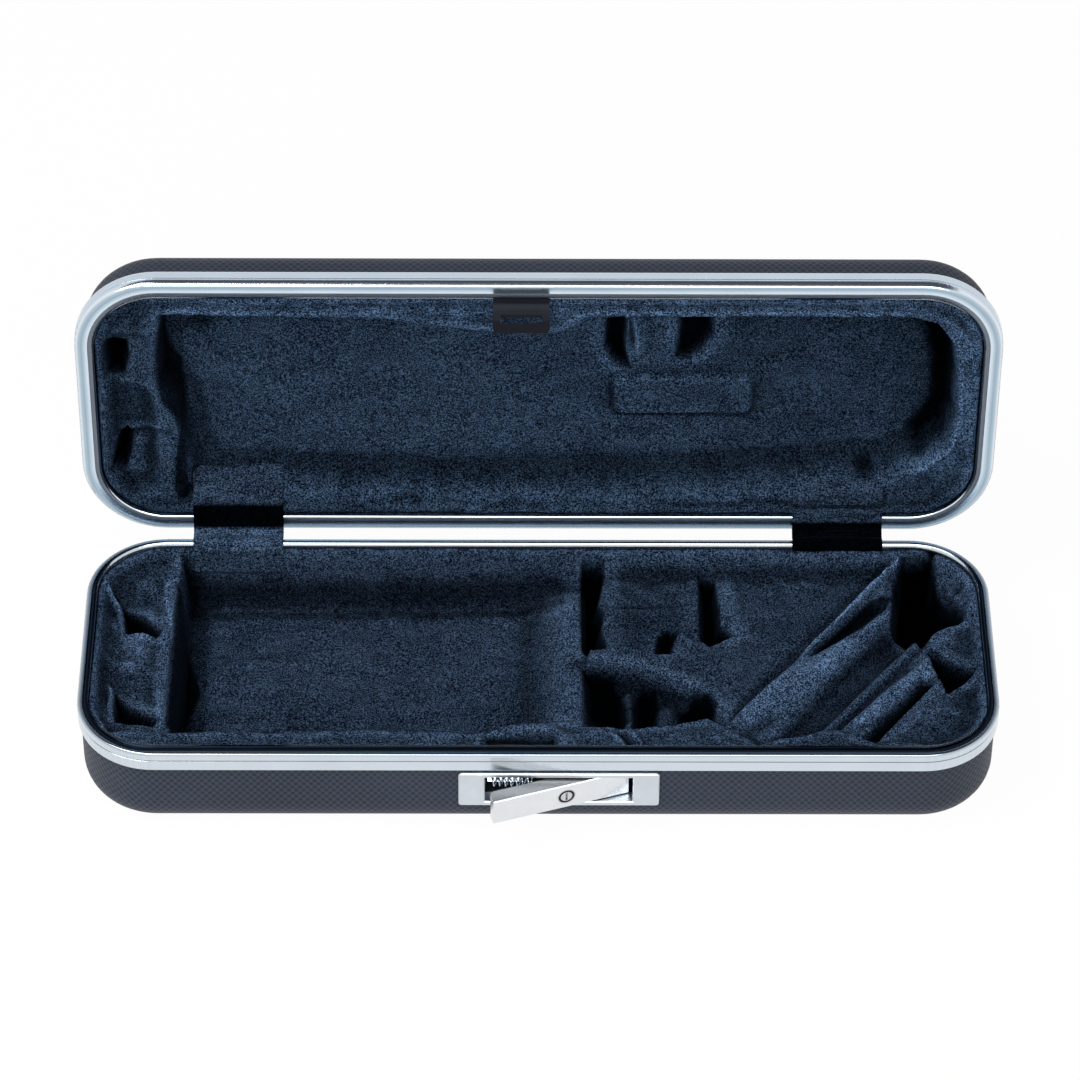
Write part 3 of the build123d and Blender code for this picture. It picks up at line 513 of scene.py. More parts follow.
def base_depth(x, y):
    """Depth of the base lining below the parting plane."""
    across, along = roll_frame(x, y)
    edge_x, edge_y = np.array(FRONT_EDGE, float).T
    front_side = np.interp(x, edge_x, edge_y) - y
    rim = rounded_distance(x, y, -147, 147, -47, 47, 22)
    inner = np.maximum(rounded_distance(x, y, -144.5, 144.5, -44.5, 45.2, 20), front_side)
    at_back = smooth((y + 42) / 16)
    depth = COVER + 0.35 * waves(x, y, 3, 7, 18, 55)
    depth -= 0.7 * hump(rim, -7, 3.6) * (1 - at_back)
    depth -= 1.3 * smooth((rim + 4.5) / 4) * at_back
    depth += 2 * smooth((rim + 2.6) / 2.2) * (1 - at_back)

    # The sunk ends, with the cell and its two holes at the left
    depth = deepen(depth, np.maximum(inner, 0.5 - across), 5.6 + 0.5 * waves(x, y, 5, 5, 14, 30), 6, 0.45)
    depth = deepen(depth, np.maximum(x + 119, inner), 5, 5, 0.4)
    cell_floor = 6.4 + 1.6 * hump(y, 26, 9) + 1.2 * hump(y, -17, 6) - mound(x, y, (-133, 6), (5, 5), 1.6)
    depth = deepen(depth, np.maximum(x + 122.6, inner), cell_floor, 6)
    depth = sink(depth, x, y, [(HOLE_BACK, 21, 3.4, 0.35), (HOLE_FRONT, 21, 3.2, 0.35)])

    # The long trough, the bed beside it with its slots, and the pocket in front
    trough = np.maximum(rounded_distance(x, y, -119.5, 18, -60, 60, 3), inner)
    floor = 24.4 + 0.35 * waves(x, y, 8, 5, 30, 70) - 1.2 * hump(y, -32, 8) - 7 * smooth((x + 8) / 20)
    depth = deepen(depth, trough, floor, 4.6, 0.4)
    bed = np.maximum(np.maximum(9 - x, across), inner)
    depth = deepen(depth, bed, 12 + 0.3 * waves(x, y, 9, 5, 16, 40), 4.6, 0.4)
    slots = [(SLOT_LEFT, 23, 3, 0.45), (SLOT_RIGHT, 22, 3, 0.45), (ARCH, 17, 2.6, 0.45)]
    depth = sink(depth, x, y, slots)
    pocket_floor = 24.5 - 4.5 * smooth((x - 38) / 22) - 6 * hump(x, 30.3, 2.2) * smooth((2 - y) / 8)
    pocket_floor -= mound(x, y, (43, -15), (3.6, 7), 6.5) + mound(x, y, (20, -24), (7, 5), 8)
    depth = sink(depth, x, y, [(POCKET, pocket_floor, 5, 0.4)])

    # The rolls: the broad one with its band, the trough for the bell, the small one, and the wedge behind it
    on_roll = smooth(-(np.abs(across - 6.5) - 9.5) / 3) * smooth(-inner / 4) * smooth((-x + 127) / 5)
    upper = np.interp(along, [10, 33, 44, 55, 68, 82], [-3.8, -1.4, 1.6, 4.7, 9, 10.3])
    lower = np.interp(along, [7, 27, 42, 57, 77], [7.6, 11, 13.6, 14.4, 14.8])
    band = hump(across, (upper + lower) / 2, 0.4 * (lower - upper), 4)
    profile = 1.4 - 2.4 * band - 2.6 * hump(across, 1, 1) * smooth((along - 36) / 20)
    profile += 2.8 * smooth((along - 42) / 14) * hump(across, (1.4 + upper) / 2, 0.6 + 0.25 * upper)
    depth += on_roll * profile
    bell = np.maximum(np.abs(across - 19.5) - 5.2, inner)
    depth = deepen(depth, bell, 12.5 + 2.5 * smooth((along - 55) / 20), 6, 0.45)
    on_small = smooth(-(np.abs(across - 30.5) - 8) / 2.6) * smooth(-inner / 4) * smooth((133 - x) / 5)
    small_middle = np.interp(along, [28, 48, 69], [33.2, 35.2, 37])
    small = 1.5 - 0.9 * hump(across, 24.6, 1.3) + 2.4 * hump(across, 28.4, 2)
    depth += on_small * (small - 2.6 * hump(across, small_middle, 3, 4))
    wedge = np.maximum(np.maximum(np.abs(across - 40.4) - 1.9, inner), y + 9)
    depth = deepen(depth, wedge, 13.5, 3.6, 0.45)
    depth = sink(depth, x, y, [(TRIANGLE, 22, 3.2, 0.4), (BELL_END, 24.5, 4, 0.4)])

    for points, height, width, *_ in BASE_FOLDS:
        depth -= fold(x, y, points, height, width)
    depth += 0.24 * waves(x, y, 11, 9, 5, 12) * hump(rim, -7, 9) + 0.07 * waves(x, y, 21, 12, 6, 16)
    # The slot in the front cushion, for the striker
    slot = rounded_distance(x, y, -16.8, 5, -50, -39.4, 1)
    return depth + 2.4 * smooth(1 - slot / 2.2)


# Outlines of painted shade and light in the base: on the rolls in their own frame, then in x and y
BAND = [
    (-3.8, 11.5), (-1.4, 32.8), (1.6, 44), (4.7, 55.2), (9, 68.5), (10.6, 82), (14.8, 77), (14.4, 56.7),
    (13.6, 42.3), (11, 26.7), (7.6, 6.8),
]
CREST = [(-0.2, 46), (0.4, 70), (0.4, 100), (1.8, 100), (1.8, 70), (1.2, 46)]
VALLEY = [(1.8, 50), (4.4, 57), (8.2, 69), (9.6, 82), (7, 90), (3.2, 82), (2.4, 62)]
SMALL_BAND = [(31, 28.5), (31.1, 47.9), (34.2, 68.9), (39.9, 64.3), (38.9, 44.1), (34.7, 29)]
POCKET_LEFT = [(15.8, 5), (25, 3.4), (27.3, -1.1), (28.3, -7.4), (29.4, -17.4), (24.3, -18.2), (16.4, -9.7)]
POCKET_MIDDLE = [(34.2, 0), (38.9, -1.7), (39.7, -6.3), (38.2, -14.1), (38.5, -22), (32.5, -22.4), (32, -10)]
POCKET_RIGHT = [(47.5, -12), (51.5, -8.6), (56.4, -11), (58.8, -15.8), (54.5, -20), (47.4, -21)]
TROUGH_SHADE = [
    (-121.5, 36), (-119, 30), (-118, 20), (-112.5, 1), (-117.5, -18), (-119.5, -34), (-122.5, -34),
]
BACK_CREASE = [(-118, 39.5), (-60, 40.4), (8, 40.4), (10, 37.2), (-60, 36.4), (-118, 35.6)]
BACK_WALL = [(-118, 46), (9, 46), (9, 38), (-118, 38)]
BLOCK = [(21, 9), (21, 44), (55, 44), (55, 9)]
CELL_MIDDLE = [(-142, -8), (-128, -8), (-128, 8), (-142, 8)]
# Folds along which shade or light is only painted on the pile
BASE_PAINTED_LINES = [
    ([(-145.8, 33.5), (-143, 27.9), (-140.8, 24.5), (-138.7, 17.8), (-137.6, 9.5)], 1.1, 0.7),
    ([(-143.4, 27), (-141.8, 21), (-141.3, 10)], 0.6, 0.6),
    ([(-141.1, -14), (-139.9, -18.8), (-138.6, -23.4), (-138, -30)], 1.1, 0.7),
    ([(-141.3, -15), (-141, -22.5), (-140.8, -30)], 0.7, 0.6),
    ([(-126.2, 29), (-126, 33.3), (-124.6, 35.2), (-122, 35.4), (-119.4, 28.5)], 0.7, 0.7),
    ([(-125.5, 31), (-123.1, 19.8), (-121.9, 11.2), (-121.6, 4)], 1.2, 0.55),
    ([(-119.6, 26), (-120.3, 18), (-120.8, 4.6), (-121, -8.5), (-121.6, -21.5), (-121.9, -35)], 1.5, 0.55),
    ([(-127, -11), (-125.1, -21.5), (-123.9, -28.9), (-123.3, -35)], 0.9, 0.7),
    ([(-137, 9.6), (-131.3, 9.4), (-127.2, 7.9), (-123.8, 5.4)], 0.7, 0.8),
    ([(-118, 41.2), (-60, 41.6), (8, 41.4)], 0.35, 0.8),
    ([(25.6, -37.4), (28.6, -41.2), (31.4, -46.4)], -0.7, 0.8),
    ([(-146, -36.5), (-139, -35), (-130, -35.4), (-124.4, -38.5)], 0.5, 1),
]


def base_painted_light(x, y, _depth):
    """Painted shade and light on the base's pile, where it is painted darkest or brightest."""
    across, along = roll_frame(x, y)
    rolls = [(BAND, -0.55, 1.6), (SMALL_BAND, -0.8, 1.8), (CREST, -1.6, 0.9), (VALLEY, 0.9, 1.6)]
    hollows = [
        (SLOT_LEFT, 0.97, 1.6), (SLOT_RIGHT, 0.97, 1.6), (ARCH, 0.85, 1.2), (HOLE_BACK, 0.97, 1.6),
        (HOLE_FRONT, 0.97, 1.6), (TRIANGLE, 0.98, 1.6), (BELL_END, 0.96, 2), (POCKET_LEFT, 0.95, 2.4),
        (POCKET_MIDDLE, 0.95, 2.4), (POCKET_RIGHT, 0.96, 3),
    ]
    broad = [
        (TROUGH_SHADE, 0.92, 2.4), (BACK_CREASE, 0.45, 2.4), (POCKET, 0.45, 3), (BACK_WALL, 0.32, 4),
        (BLOCK, 0.33, 3), (CELL_MIDDLE, -0.3, 6),
    ]
    shade = painted_polygons(across, along, rolls) * painted_polygons(x, y, hollows, 0.8) * painted_polygons(x, y, broad)
    return shade * painted_lines(x, y, painted_folds(BASE_FOLDS) + BASE_PAINTED_LINES)


# Outlines of the lid's hollows, as if it were closed
RECESS = [
    (-124.5, -37.2), (-97, -36.8), (-54, -35.8), (-32, -32.4), (-18, -29.8), (-6, -28.8), (6, -29.6),
    (12, -32.6), (17.5, -36), (28, -36.8), (61, -36.9), (122, -37), (131, -33.8), (136.6, -25.5),
    (138.6, -10), (139, 8), (136.4, 18), (129, 26), (118, 31.5), (90, 35), (60, 38.5), (22, 41), (-33, 41),
    (-89, 38), (-112, 37), (-117.5, 40), (-119, 28), (-119.5, 12), (-121, 0), (-126, -8), (-126.2, -24),
]
NOTCH_LEFT = [(27.6, -34), (29, -31), (28.7, -16), (29.4, -5.5), (25.6, -7.6), (22.4, -13.4), (23, -24)]
NOTCH_RIGHT = [
    (47.6, -35), (47.2, -20), (46.4, -9.2), (49.4, -8.6), (54.4, -12.8), (57.4, -18.6), (57, -28), (55, -35),
]
DENT_TOP = [(-143, -26), (-143.6, -19), (-142.4, -11.5), (-137.5, -10.6), (-135.6, -17), (-136, -24)]
DENT_LOW = [(-137.3, 11.6), (-141.2, 19.5), (-142.8, 28), (-139, 29.5), (-136.8, 24), (-135.6, 14)]
LID_FOLDS = [
    ([(28.6, -34), (29.5, -24), (29.4, -12), (31.6, -5.5)], 3, 0.8),
    ([(28.8, -35), (31.6, -26), (33, -17), (33.6, -8)], 1.7, 0.8),
    ([(29.5, -31), (31, -22), (31.4, -13)], -1.2, 1), ([(27, -42), (29, -38.5), (28.4, -35)], 1.2, 0.9),
    ([(-124.5, -38), (-126, -24), (-125.8, -8), (-121.2, 1)], 1, 0.9, 0.5, 0.8),
    ([(-119.6, 10), (-119, 26), (-117, 36), (-112, 39)], 1.3, 1, 0.6, 0.8),
    ([(-117, 28), (-114, 34), (-113, 40), (-116, 44)], 1.2, 0.8),
    ([(-142, 12.4), (-136.6, 11.6), (-130.6, 9.6), (-121, 10.2)], 1.3, 1.2),
    ([(-140.5, -8), (-134, -8.6), (-127, -4)], 0.9, 1.4),
    ([(139.4, -20), (140.6, -4), (140.6, 9), (137.6, 19.4), (130, 27.6), (120, 33)], 0.9, 0.8),
    ([(134, 12), (132, 20), (126, 27)], 1, 0.8, 0.7, 0.7), ([(-62, 42), (-55, 38.4), (-49, 40)], 1.4, 1.2),
    ([(-50, 43), (-44, 41), (-38, 43.5)], -1.3, 1.1), ([(-20, 44), (-8, 43), (4, 44.4)], -1.2, 0.9),
    ([(-36, 41), (-16, 40), (12, 41.2), (40, 40.6)], 0.7, 1.1), ([(46, 43.6), (58, 42.8), (72, 44)], -1, 0.9),
    ([(-106, -41.5), (-90, -42.6), (-70, -41.8)], 0.6, 1.4), ([(-62, -44), (-58, -42), (-50, -42)], -0.8, 1),
    ([(8, -34), (14, -38), (26, -40)], 0.8, 1.3),
    ([(116, -43), (124, -41.4), (134, -36), (139, -28)], 0.7, 1.3),
]


def lid_depth(x, y):
    """Depth of the lid lining above the parting plane."""
    rim = rounded_distance(x, y, -146, 146, -46, 46, 21)
    ends = rounded_distance(x, y, -143, 143, -43, 43, 18)
    depth = COVER + 0.2 + 0.28 * waves(x, y, 31, 7, 18, 60)
    depth -= 0.7 * hump(rim, -6.5, 4)
    low = smooth((y - 6) / 28)
    to_right = smooth((x - 108) / 26)
    floor = 16.8 + 0.35 * waves(x, y, 41, 5, 30, 70) - 1.4 * low + 3.4 * to_right
    wall = (4 + 9 * low) * (1 - 0.6 * to_right)
    depth = sink(depth, x, y, [(RECESS, floor, wall, 0.35)])
    cell = np.maximum(rounded_distance(x, y, -144, -127, -30, 38, 6), ends)
    depth = deepen(depth, cell, 5.6 + 1.8 * smooth((y - 11.5) / 3) * smooth((31 - y) / 6), 6)
    dents = [(DENT_TOP, 15, 3.4, 0.4), (DENT_LOW, 15, 3, 0.4)]
    notches = [(NOTCH_LEFT, 21, 4, 0.6), (NOTCH_RIGHT, 21, 4, 0.6)]
    depth = sink(depth, x, y, dents + notches)
    # The raised pad between the notches, and two dimples
    pad = rounded_distance(x, y, 25, 71.5, -2, 14, 3.5)
    depth -= 1.5 * smooth(-pad / 2.2 + 0.5)
    depth += 0.5 * hump(pad, 0.8, 0.9) * smooth((y + 1) / 4)
    depth += mound(x, y, (110, 31), (4.5, 3.2), 1.8) + mound(x, y, (-112, -24), (6.5, 4.5), 1.4)
    for points, height, width, *_ in LID_FOLDS:
        depth -= fold(x, y, points, height, width)
    depth += 0.26 * waves(x, y, 51, 9, 5, 13) * hump(rim, -7, 8) + 0.07 * waves(x, y, 61, 12, 6, 18)
    return depth - 1.3 * smooth((rim + 4.5) / 3) + 0.7 * smooth((rim + 0.7) / 0.7)


# Outlines of painted shade and light in the lid
DARK_SIDE = [
    (118, -35), (131, -33), (136.6, -25.5), (138.6, -10), (139, 8), (136.4, 18), (127, 27), (124, 20),
    (131, 9), (130.4, -8), (127, -22),
]
LID_LEFT_WALL = [
    (-123.9, -34.5), (-125.5, -28.3), (-126.6, -19.2), (-126.6, -7.9), (-125.3, -1.5), (-121.4, 5.6),
    (-119.9, 12), (-121.6, 23.6), (-122.7, 35.3), (-121.4, 40), (-117.9, 40.5), (-117.2, 36.7),
    (-117.8, 26.5), (-118.1, 17.8), (-118, 9.2), (-118.3, -0.8), (-118.5, -8.6), (-120.7, -11.9),
    (-122.3, -15), (-123.3, -23.4),
]
LID_BROAD = [
    ([(-146, -45), (-127, -45), (-126, -20), (-122, 0), (-120, 20), (-118, 46), (-146, 46)], 0.42, 4),
    ([(60, -34), (126, -34), (126, 24), (60, 35)], 0.28, 24),
    ([(-118, 32), (138, 28), (144, 44), (-118, 47)], 0.36, 7),
    ([(-120, -46), (120, -46), (120, -38.5), (-120, -38.5)], -0.3, 2.5),
]
DIMPLES = [
    [(105.5, 31), (110, 28), (114.5, 31), (110, 34)],
    [(-118.5, -24), (-112, -28), (-105.5, -24), (-112, -20)],
]
# Folds along which shade or light is only painted on the pile
LID_PAINTED_LINES = [
    ([(28.2, -36), (27.4, -22), (28.6, -6)], 1, 0.6), ([(28.6, -36), (31.6, -24), (33.4, -10)], 0.8, 0.6),
    ([(30, -33), (30.4, -22), (31.2, -12)], -0.6, 0.9),
    ([(139.6, -22), (140.4, -4), (140.4, 9), (137.4, 19), (130, 27), (120, 32)], 0.6, 0.7),
    ([(24.6, -2), (24.4, 8), (26, 14.4), (40, 14.8), (62, 14.6)], -0.55, 0.9),
]


def lid_painted_light(x, y, depth):
    """Painted shade and light on the lid's pile: darker in deep hollows and where it is painted darkest."""
    deep = smooth((depth - 5) / 5)
    dark = painted_polygons(x, y, [(DARK_SIDE, 0.96, 7), (NOTCH_LEFT, 0.93, 3), (NOTCH_RIGHT, 0.93, 4)])
    small = [(DENT_TOP, 0.75, 3.4), (DENT_LOW, 0.85, 2.4), (DIMPLES[0], 0.7, 4), (DIMPLES[1], 0.5, 5)]
    broad = painted_polygons(x, y, LID_BROAD) * painted_polygons(x, y, [(LID_LEFT_WALL, 0.88, 2)])
    shade = (1 - deep * (1 - dark)) * painted_polygons(x, y, small) * broad
    return shade * painted_lines(x, y, LID_PAINTED_LINES + painted_folds(LID_FOLDS))


def painted_sky_shade(x, y, depth):
    """Painted shade and highlight: darker where walls hide the sky, lighter along ridges, up to about 2."""
    height = -depth
    step_x, step_y = abs(x[0, 1] - x[0, 0]), np.median(np.abs(np.diff(y[:, 0])))

    def moved(dx, dy):
        rows, cols = (
            np.clip(np.arange(size) + int(round(by)), 0, size - 1)
            for size, by in zip(height.shape, (dy / step_y, dx / step_x))
        )
        return height[rows][:, cols]

    sky = np.zeros_like(height)
    around = np.zeros_like(height)
    for angle in np.arange(12) * math.pi / 6:
        highest = np.zeros_like(height)
        for reach in (1.2, 2.4, 4, 6, 9, 13, 18, 25):
            there = moved(reach * math.cos(angle), reach * math.sin(angle))
            highest = np.maximum(highest, (there - height) / reach)
            if reach in (2.4, 4):
                around += there / 24
        sky += 1 / (1 + highest**2)
    proud = np.clip(height - around, -0.8, 1.2)
    lit = np.interp(sky / 12, [0.12, 0.3, 0.42, 0.5, 0.62, 0.8], [0.01, 0.14, 0.5, 0.78, 0.92, 1])
    return lit * (1 + 0.6 * proud)


def painted_polygons(x, y, places, grow=0.0):
    """Painted shade and light on the pile from polygons: each darkens it inside, or brightens it if negative.
    """
    factor = np.ones_like(x)
    for points, strength, soft in places:
        factor *= 1 - strength * smooth(0.5 - (polygon_distance(x, y, points) - grow) / soft)
    return factor


def painted_lines(x, y, lines):
    """Painted light and shade on the pile along folds: each brightens it along a line, or darkens it if
    negative.
    """
    factor = np.ones_like(x)
    for points, strength, width in lines:
        factor *= 1 + fold(x, y, points, strength, width)
    return factor


def grid_lines(half, corner, marks=()):
    """Positions across a rounded outline, finer towards its edge, with lines at the marks."""
    straight = half - corner
    inner = np.linspace(-straight, straight, int(round(2 * straight / STEP)) + 1)
    bend = np.sin(np.linspace(0, math.pi / 2, int(round(corner * 1.3 / STEP)) + 1)[1:])
    lines = np.concatenate([-(straight + corner * bend)[::-1], inner, straight + corner * bend])
    for mark in marks:
        lines[np.argmin(np.abs(lines - mark))] = mark
    return lines


# Spacing of a lining's points, its least depth, and the length at each end where its columns draw together
STEP, LEAST_DEPTH, DRAWN_END = 0.65, 0.6, 47.0


def lining(name, depth_of, painted_shade_of, inset, thickness, hole=None, to_frame=None):
    """Quilted lining: a fine surface over the hollows with a skirt and an underside."""
    half_x, half_y, corner = LENGTH / 2 - inset, WIDTH / 2 - inset, CORNER - inset
    ys = grid_lines(half_y, corner, hole[2:] if hole else ())
    columns = np.linspace(-half_x, half_x, int(round(2 * half_x / STEP)) + 1)
    if hole:
        for mark in hole[:2]:
            columns[np.argmin(np.abs(columns - mark))] = mark
    over = np.maximum(np.abs(ys) - (half_y - corner), 0)
    reach = half_x - corner + np.sqrt(np.maximum(corner**2 - over**2, 0))
    x = np.tile(columns, (len(ys), 1))
    kept = half_x - DRAWN_END
    squeeze = kept + (np.abs(x) - kept) * ((reach[:, None] - kept) / (half_x - kept))
    x = np.where(np.abs(x) > kept, np.sign(x) * squeeze, x)
    y = np.repeat(ys[:, None], len(columns), 1)
    depth = np.maximum(depth_of(x, y), LEAST_DEPTH)
    top = np.column_stack([x.ravel(), y.ravel(), -depth.ravel()])
    both = np.concatenate([top, top - [0, 0, thickness]])
    points = to_frame(both * [1, 1, -1]) if to_frame else both + [0, 0, PARTING]
    rows, cols = x.shape
    index = np.arange(rows * cols).reshape(rows, cols)
    keep = np.ones((rows - 1, cols - 1), bool)
    if hole:
        cx = (x[:-1, :-1] + x[1:, 1:]) / 2
        cy = (y[:-1, :-1] + y[1:, 1:]) / 2
        keep = ~((cx > hole[0]) & (cx < hole[1]) & (cy > hole[2]) & (cy < hole[3]))
    a, b = index[:-1, :-1][keep], index[:-1, 1:][keep]
    c, d = index[1:, 1:][keep], index[1:, :-1][keep]
    n = rows * cols
    faces = [np.column_stack([a, b, c, d]), np.column_stack([d, c, b, a]) + n]
    # Edges that only one face uses carry the skirt
    edges = {}
    for p, q in zip(np.concatenate([a, b, c, d]), np.concatenate([b, c, d, a])):
        if (q, p) in edges:
            del edges[(q, p)]
        else:
            edges[(p, q)] = True
    faces.append(np.array([(q, p, p + n, q + n) for p, q in edges]))
    if to_frame:
        faces = [f[:, ::-1] for f in faces]
    # Shade and light painted into the pile's colour at each point
    pile = painted_sky_shade(x, y, depth) * painted_shade_of(x, y, depth)
    return make_piece(name, points, np.concatenate(faces).tolist(), np.tile(pile.ravel(), 2))


base_velvet = velvet_material("base_velvet_pile")
# Painted light: the lid's copy of the velvet is lighter and bluer than the base's
lid_velvet = velvet_material("lid_velvet_pile", True, (0.060, 0.106, 0.182))
strap_velvet = velvet_material("strap_velvet_pile")

# The striker's slot, from and to in x and in y
HOLE = (-16.8, 5.0, -48.0, -39.4)
base_lining = lining("base_lining", base_depth, base_painted_light, BASE_INSET, BASE_THICKNESS, HOLE)
base_lining.data.materials.append(base_velvet)
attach(base_lining, "base")
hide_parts("base_foam", "base_velvet")

lid_lining = lining("lid_lining", lid_depth, lid_painted_light, LID_INSET, LID_THICKNESS, None, lid_to_world)
lid_lining.data.materials.append(lid_velvet)
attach(lid_lining, "lid")
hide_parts("lid_foam", "lid_velvet")

# ---- hinge straps


def bend_points(points, radius, steps=5):
    """Round the corners of a path in a plane."""
    points = [np.asarray(p, float) for p in points]
    path = [points[0]]
    for before, corner, after in zip(points, points[1:], points[2:]):
        into, out = before - corner, after - corner
        size = min(radius, 0.45 * np.linalg.norm(into), 0.45 * np.linalg.norm(out))
        start = corner + into / np.linalg.norm(into) * size
        end = corner + out / np.linalg.norm(out) * size
        for k in range(steps + 1):
            t = k / steps
            path.append((1 - t) ** 2 * start + 2 * t * (1 - t) * corner + t * t * end)
    path.append(points[-1])
    return np.array(path)


def resample(path, step):
    """Points at even steps along a path in a plane."""
    lengths = np.concatenate([[0], np.cumsum(np.hypot(*np.diff(path, axis=0).T))])
    at = np.linspace(0, lengths[-1], int(lengths[-1] / step) + 1)
    return np.column_stack([np.interp(at, lengths, column) for column in path.T])


# A strap's path in y and z: over the lid's lining, then round both rims
LID_RUN = (33.5, 45.2)
RIM_RUN = [(51.55, -0.5), (50.4, 36.9), (48.9, 38.05), (47.2, 38), (46.5, 36.8)]
STRAP_THICKNESS = 0.8
# Its bow across its width, its lift over the lid's lining, and the height that its lower end keeps under
BOW, LIFT, END_HEIGHT = 0.35, 0.95, 35.4


def strap(name, middle, base_end, shade):
    """Band of velvet from the lid's lining over both rims to the base's."""
    rows = []
    for side in (1, -1):
        for a in np.linspace(-1, 1, 41) * side:
            x = middle + a * STRAP_WIDTH / 2
            bow = BOW * math.cos(a * 1.5)
            lid_y = np.linspace(*LID_RUN, 9)
            lid_y[0] -= 0.25 * math.sin(5 * a + middle)
            lid_z = lid_depth(np.full((1, 9), x), lid_y[None])[0] - LIFT - bow
            lid_z[-1] = min(lid_z[-1], 0.6)
            rim_y, rim_z = RIM_RUN[0]
            over = lid_to_world(np.column_stack([np.full(10, x), [*lid_y, rim_y], [*lid_z, rim_z]]))
            base_y, out_y, out_z = np.array(base_end).T
            base_z = PARTING - base_depth(np.full((1, len(base_y)), x), base_y[None])[0] + out_z + bow * 0.3
            end = zip(base_y + out_y - bow * 0.6, np.minimum(base_z, END_HEIGHT))
            corners = [*over[:, 1:], *RIM_RUN[1:], *end]
            path = resample(bend_points(corners, 1.5), 0.5)
            path = path[np.linspace(0, len(path) - 1, 90).astype(int)]
            run = np.gradient(path, axis=0)
            run /= np.linalg.norm(run, axis=1)[:, None] + 1e-9
            normal = np.column_stack([run[:, 1], -run[:, 0]])
            edge = math.sqrt(max(0.0, 1 - abs(a) ** 12))
            ripple = 0.08 * np.sin(np.arange(len(path)) * 0.35 + a * 6 + middle) * (side == 1)
            place = path - normal * (side * STRAP_THICKNESS / 2 * edge + ripple)[:, None]
            rows.append(np.column_stack([np.full(len(path), x), place]))
    rows = np.array(rows)
    rings, count = rows.shape[:2]
    faces = []
    for i in range(rings):
        at, beside = i * count, (i + 1) % rings * count
        faces += [(at + k, beside + k, beside + k + 1, at + k + 1) for k in range(count - 1)]
    for k in (0, count - 1):
        for i in range(rings // 2 - 1):
            across = (rings - 2 - i) * count + k
            faces.append((i * count + k, (i + 1) * count + k, across, across + count))
    flat = rows.reshape(-1, 3)
    # Painted shade and light along the strap, by how high each point rises
    rise = 0.94 * (flat[:, 1] - 47) + flat[:, 2] - 33.5
    painted_light = np.interp(rise, *np.array(shade, float).T)
    piece = make_piece(name, flat, faces, painted_light, weld=True)
    piece.data.materials.append(strap_velvet)
    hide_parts(name.replace("velvet_strap", "hinge_strap"))
    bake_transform(piece)


# Painted shade and light on each strap's pile by its rise over the base's lining, in millimetres
STRAP_PAINTED_LIGHT_LEFT = [
    (-2, 1.1), (0, 1.1), (1.2, 1.9), (10.4, 1.8), (11.6, 0.03), (21.2, 0.03), (22.6, 0.95), (32, 1.05),
]
STRAP_PAINTED_LIGHT_RIGHT = [
    (0, 0.03), (13.6, 0.03), (14.6, 1.1), (20, 1), (20.8, 0.3), (21.6, 0.3), (22.2, 0.95), (32, 1.05),
]
LEFT_END = [(46.3, -0.35, 0.5), (45.6, -0.55, 0.25), (45.1, -0.6, 0.1)]
strap("velvet_strap_left", -STRAP_X, LEFT_END, STRAP_PAINTED_LIGHT_LEFT)
strap("velvet_strap_right", STRAP_X, [(46.5, -0.1, 0.6)], STRAP_PAINTED_LIGHT_RIGHT)

# ---- inside the latch


def directions(path):
    """Unit directions along a run of points."""
    run = np.gradient(path, axis=0)
    return run / np.linalg.norm(run, axis=1)[:, None]


def tube(name, path, radius, sides=10):
    """Round wire along a run of points in millimetres, closed at both ends."""
    path = np.asarray(path, float)
    u = np.cross(directions(path), [1.0, 0, 0])
    u /= np.linalg.norm(u, axis=1)[:, None]
    v = np.cross(directions(path), u)
    turn = np.arange(sides)[None, :, None] * 2 * math.pi / sides
    rings = path[:, None] + radius * (np.cos(turn) * u[:, None] + np.sin(turn) * v[:, None])
    faces, last = [], (len(path) - 1) * sides
    for i in range(0, last, sides):
        for k in range(sides):
            after = (k + 1) % sides
            faces.append((i + k, i + after, i + sides + after, i + sides + k))
    faces += [tuple(range(sides))[::-1], tuple(range(last, last + sides))]
    return make_piece(name, rings.reshape(-1, 3), faces)


def folded_strip(name, profile, x0, x1, thickness):
    """Thin sheet bent along a profile of (y, z) points and reaching from x0 to x1."""
    profile = np.asarray(profile, float)
    run = directions(profile)
    normal = np.column_stack([-run[:, 1], run[:, 0]]) * thickness / 2
    loop = np.concatenate([profile + normal, (profile - normal)[::-1]])
    n = len(loop)
    points = [(x, y, z) for x in (x0, x1) for y, z in loop]
    faces = [(k, (k + 1) % n, n + (k + 1) % n, n + k) for k in range(n)]
    half = n // 2
    for k in range(half - 1):
        faces.append((k, n - 1 - k, n - 2 - k, k + 1))
        faces.append((n + k, n + k + 1, 2 * n - 2 - k, 2 * n - 1 - k))
    return make_piece(name, points, faces, rounded=False)


COIL_TURNS, COIL_RADIUS, WIRE_RADIUS = 7, 1.75, 0.38
turns = np.linspace(0, COIL_TURNS * 2 * math.pi, COIL_TURNS * 16 + 1)
coil_x = -15.5 + turns * 13.5 / turns[-1]
coil = np.column_stack([coil_x, -44.3 + COIL_RADIUS * np.cos(turns), 17 + COIL_RADIUS * np.sin(turns)])
latch_spring = tube("latch_spring", coil, WIRE_RADIUS)
zigzag = [
    (-42, 14.6), (-41.2, 15.6), (-42.4, 16.8), (-41.2, 18), (-42.3, 19.4), (-41.4, 20.6), (-41.8, 22.6),
]
latch_guide = folded_strip("latch_guide", zigzag, -16.6, -5.5, 0.5)
for piece in (latch_spring, latch_guide):
    piece.data.materials.append(metal(piece.name + "_chrome", (0.72, 0.80, 0.88), 0.08, 1.2, 0.12))
    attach(piece, "base")

# ---- materials of the CAD nodes

LOCK_TURN = math.radians(17.9)
LOCK_CENTRE, LOCK_RADIUS = (8.41, -52.12, 20.5), 3.2
LOCK_AXIS = (math.sin(LOCK_TURN), -math.cos(LOCK_TURN), 0)


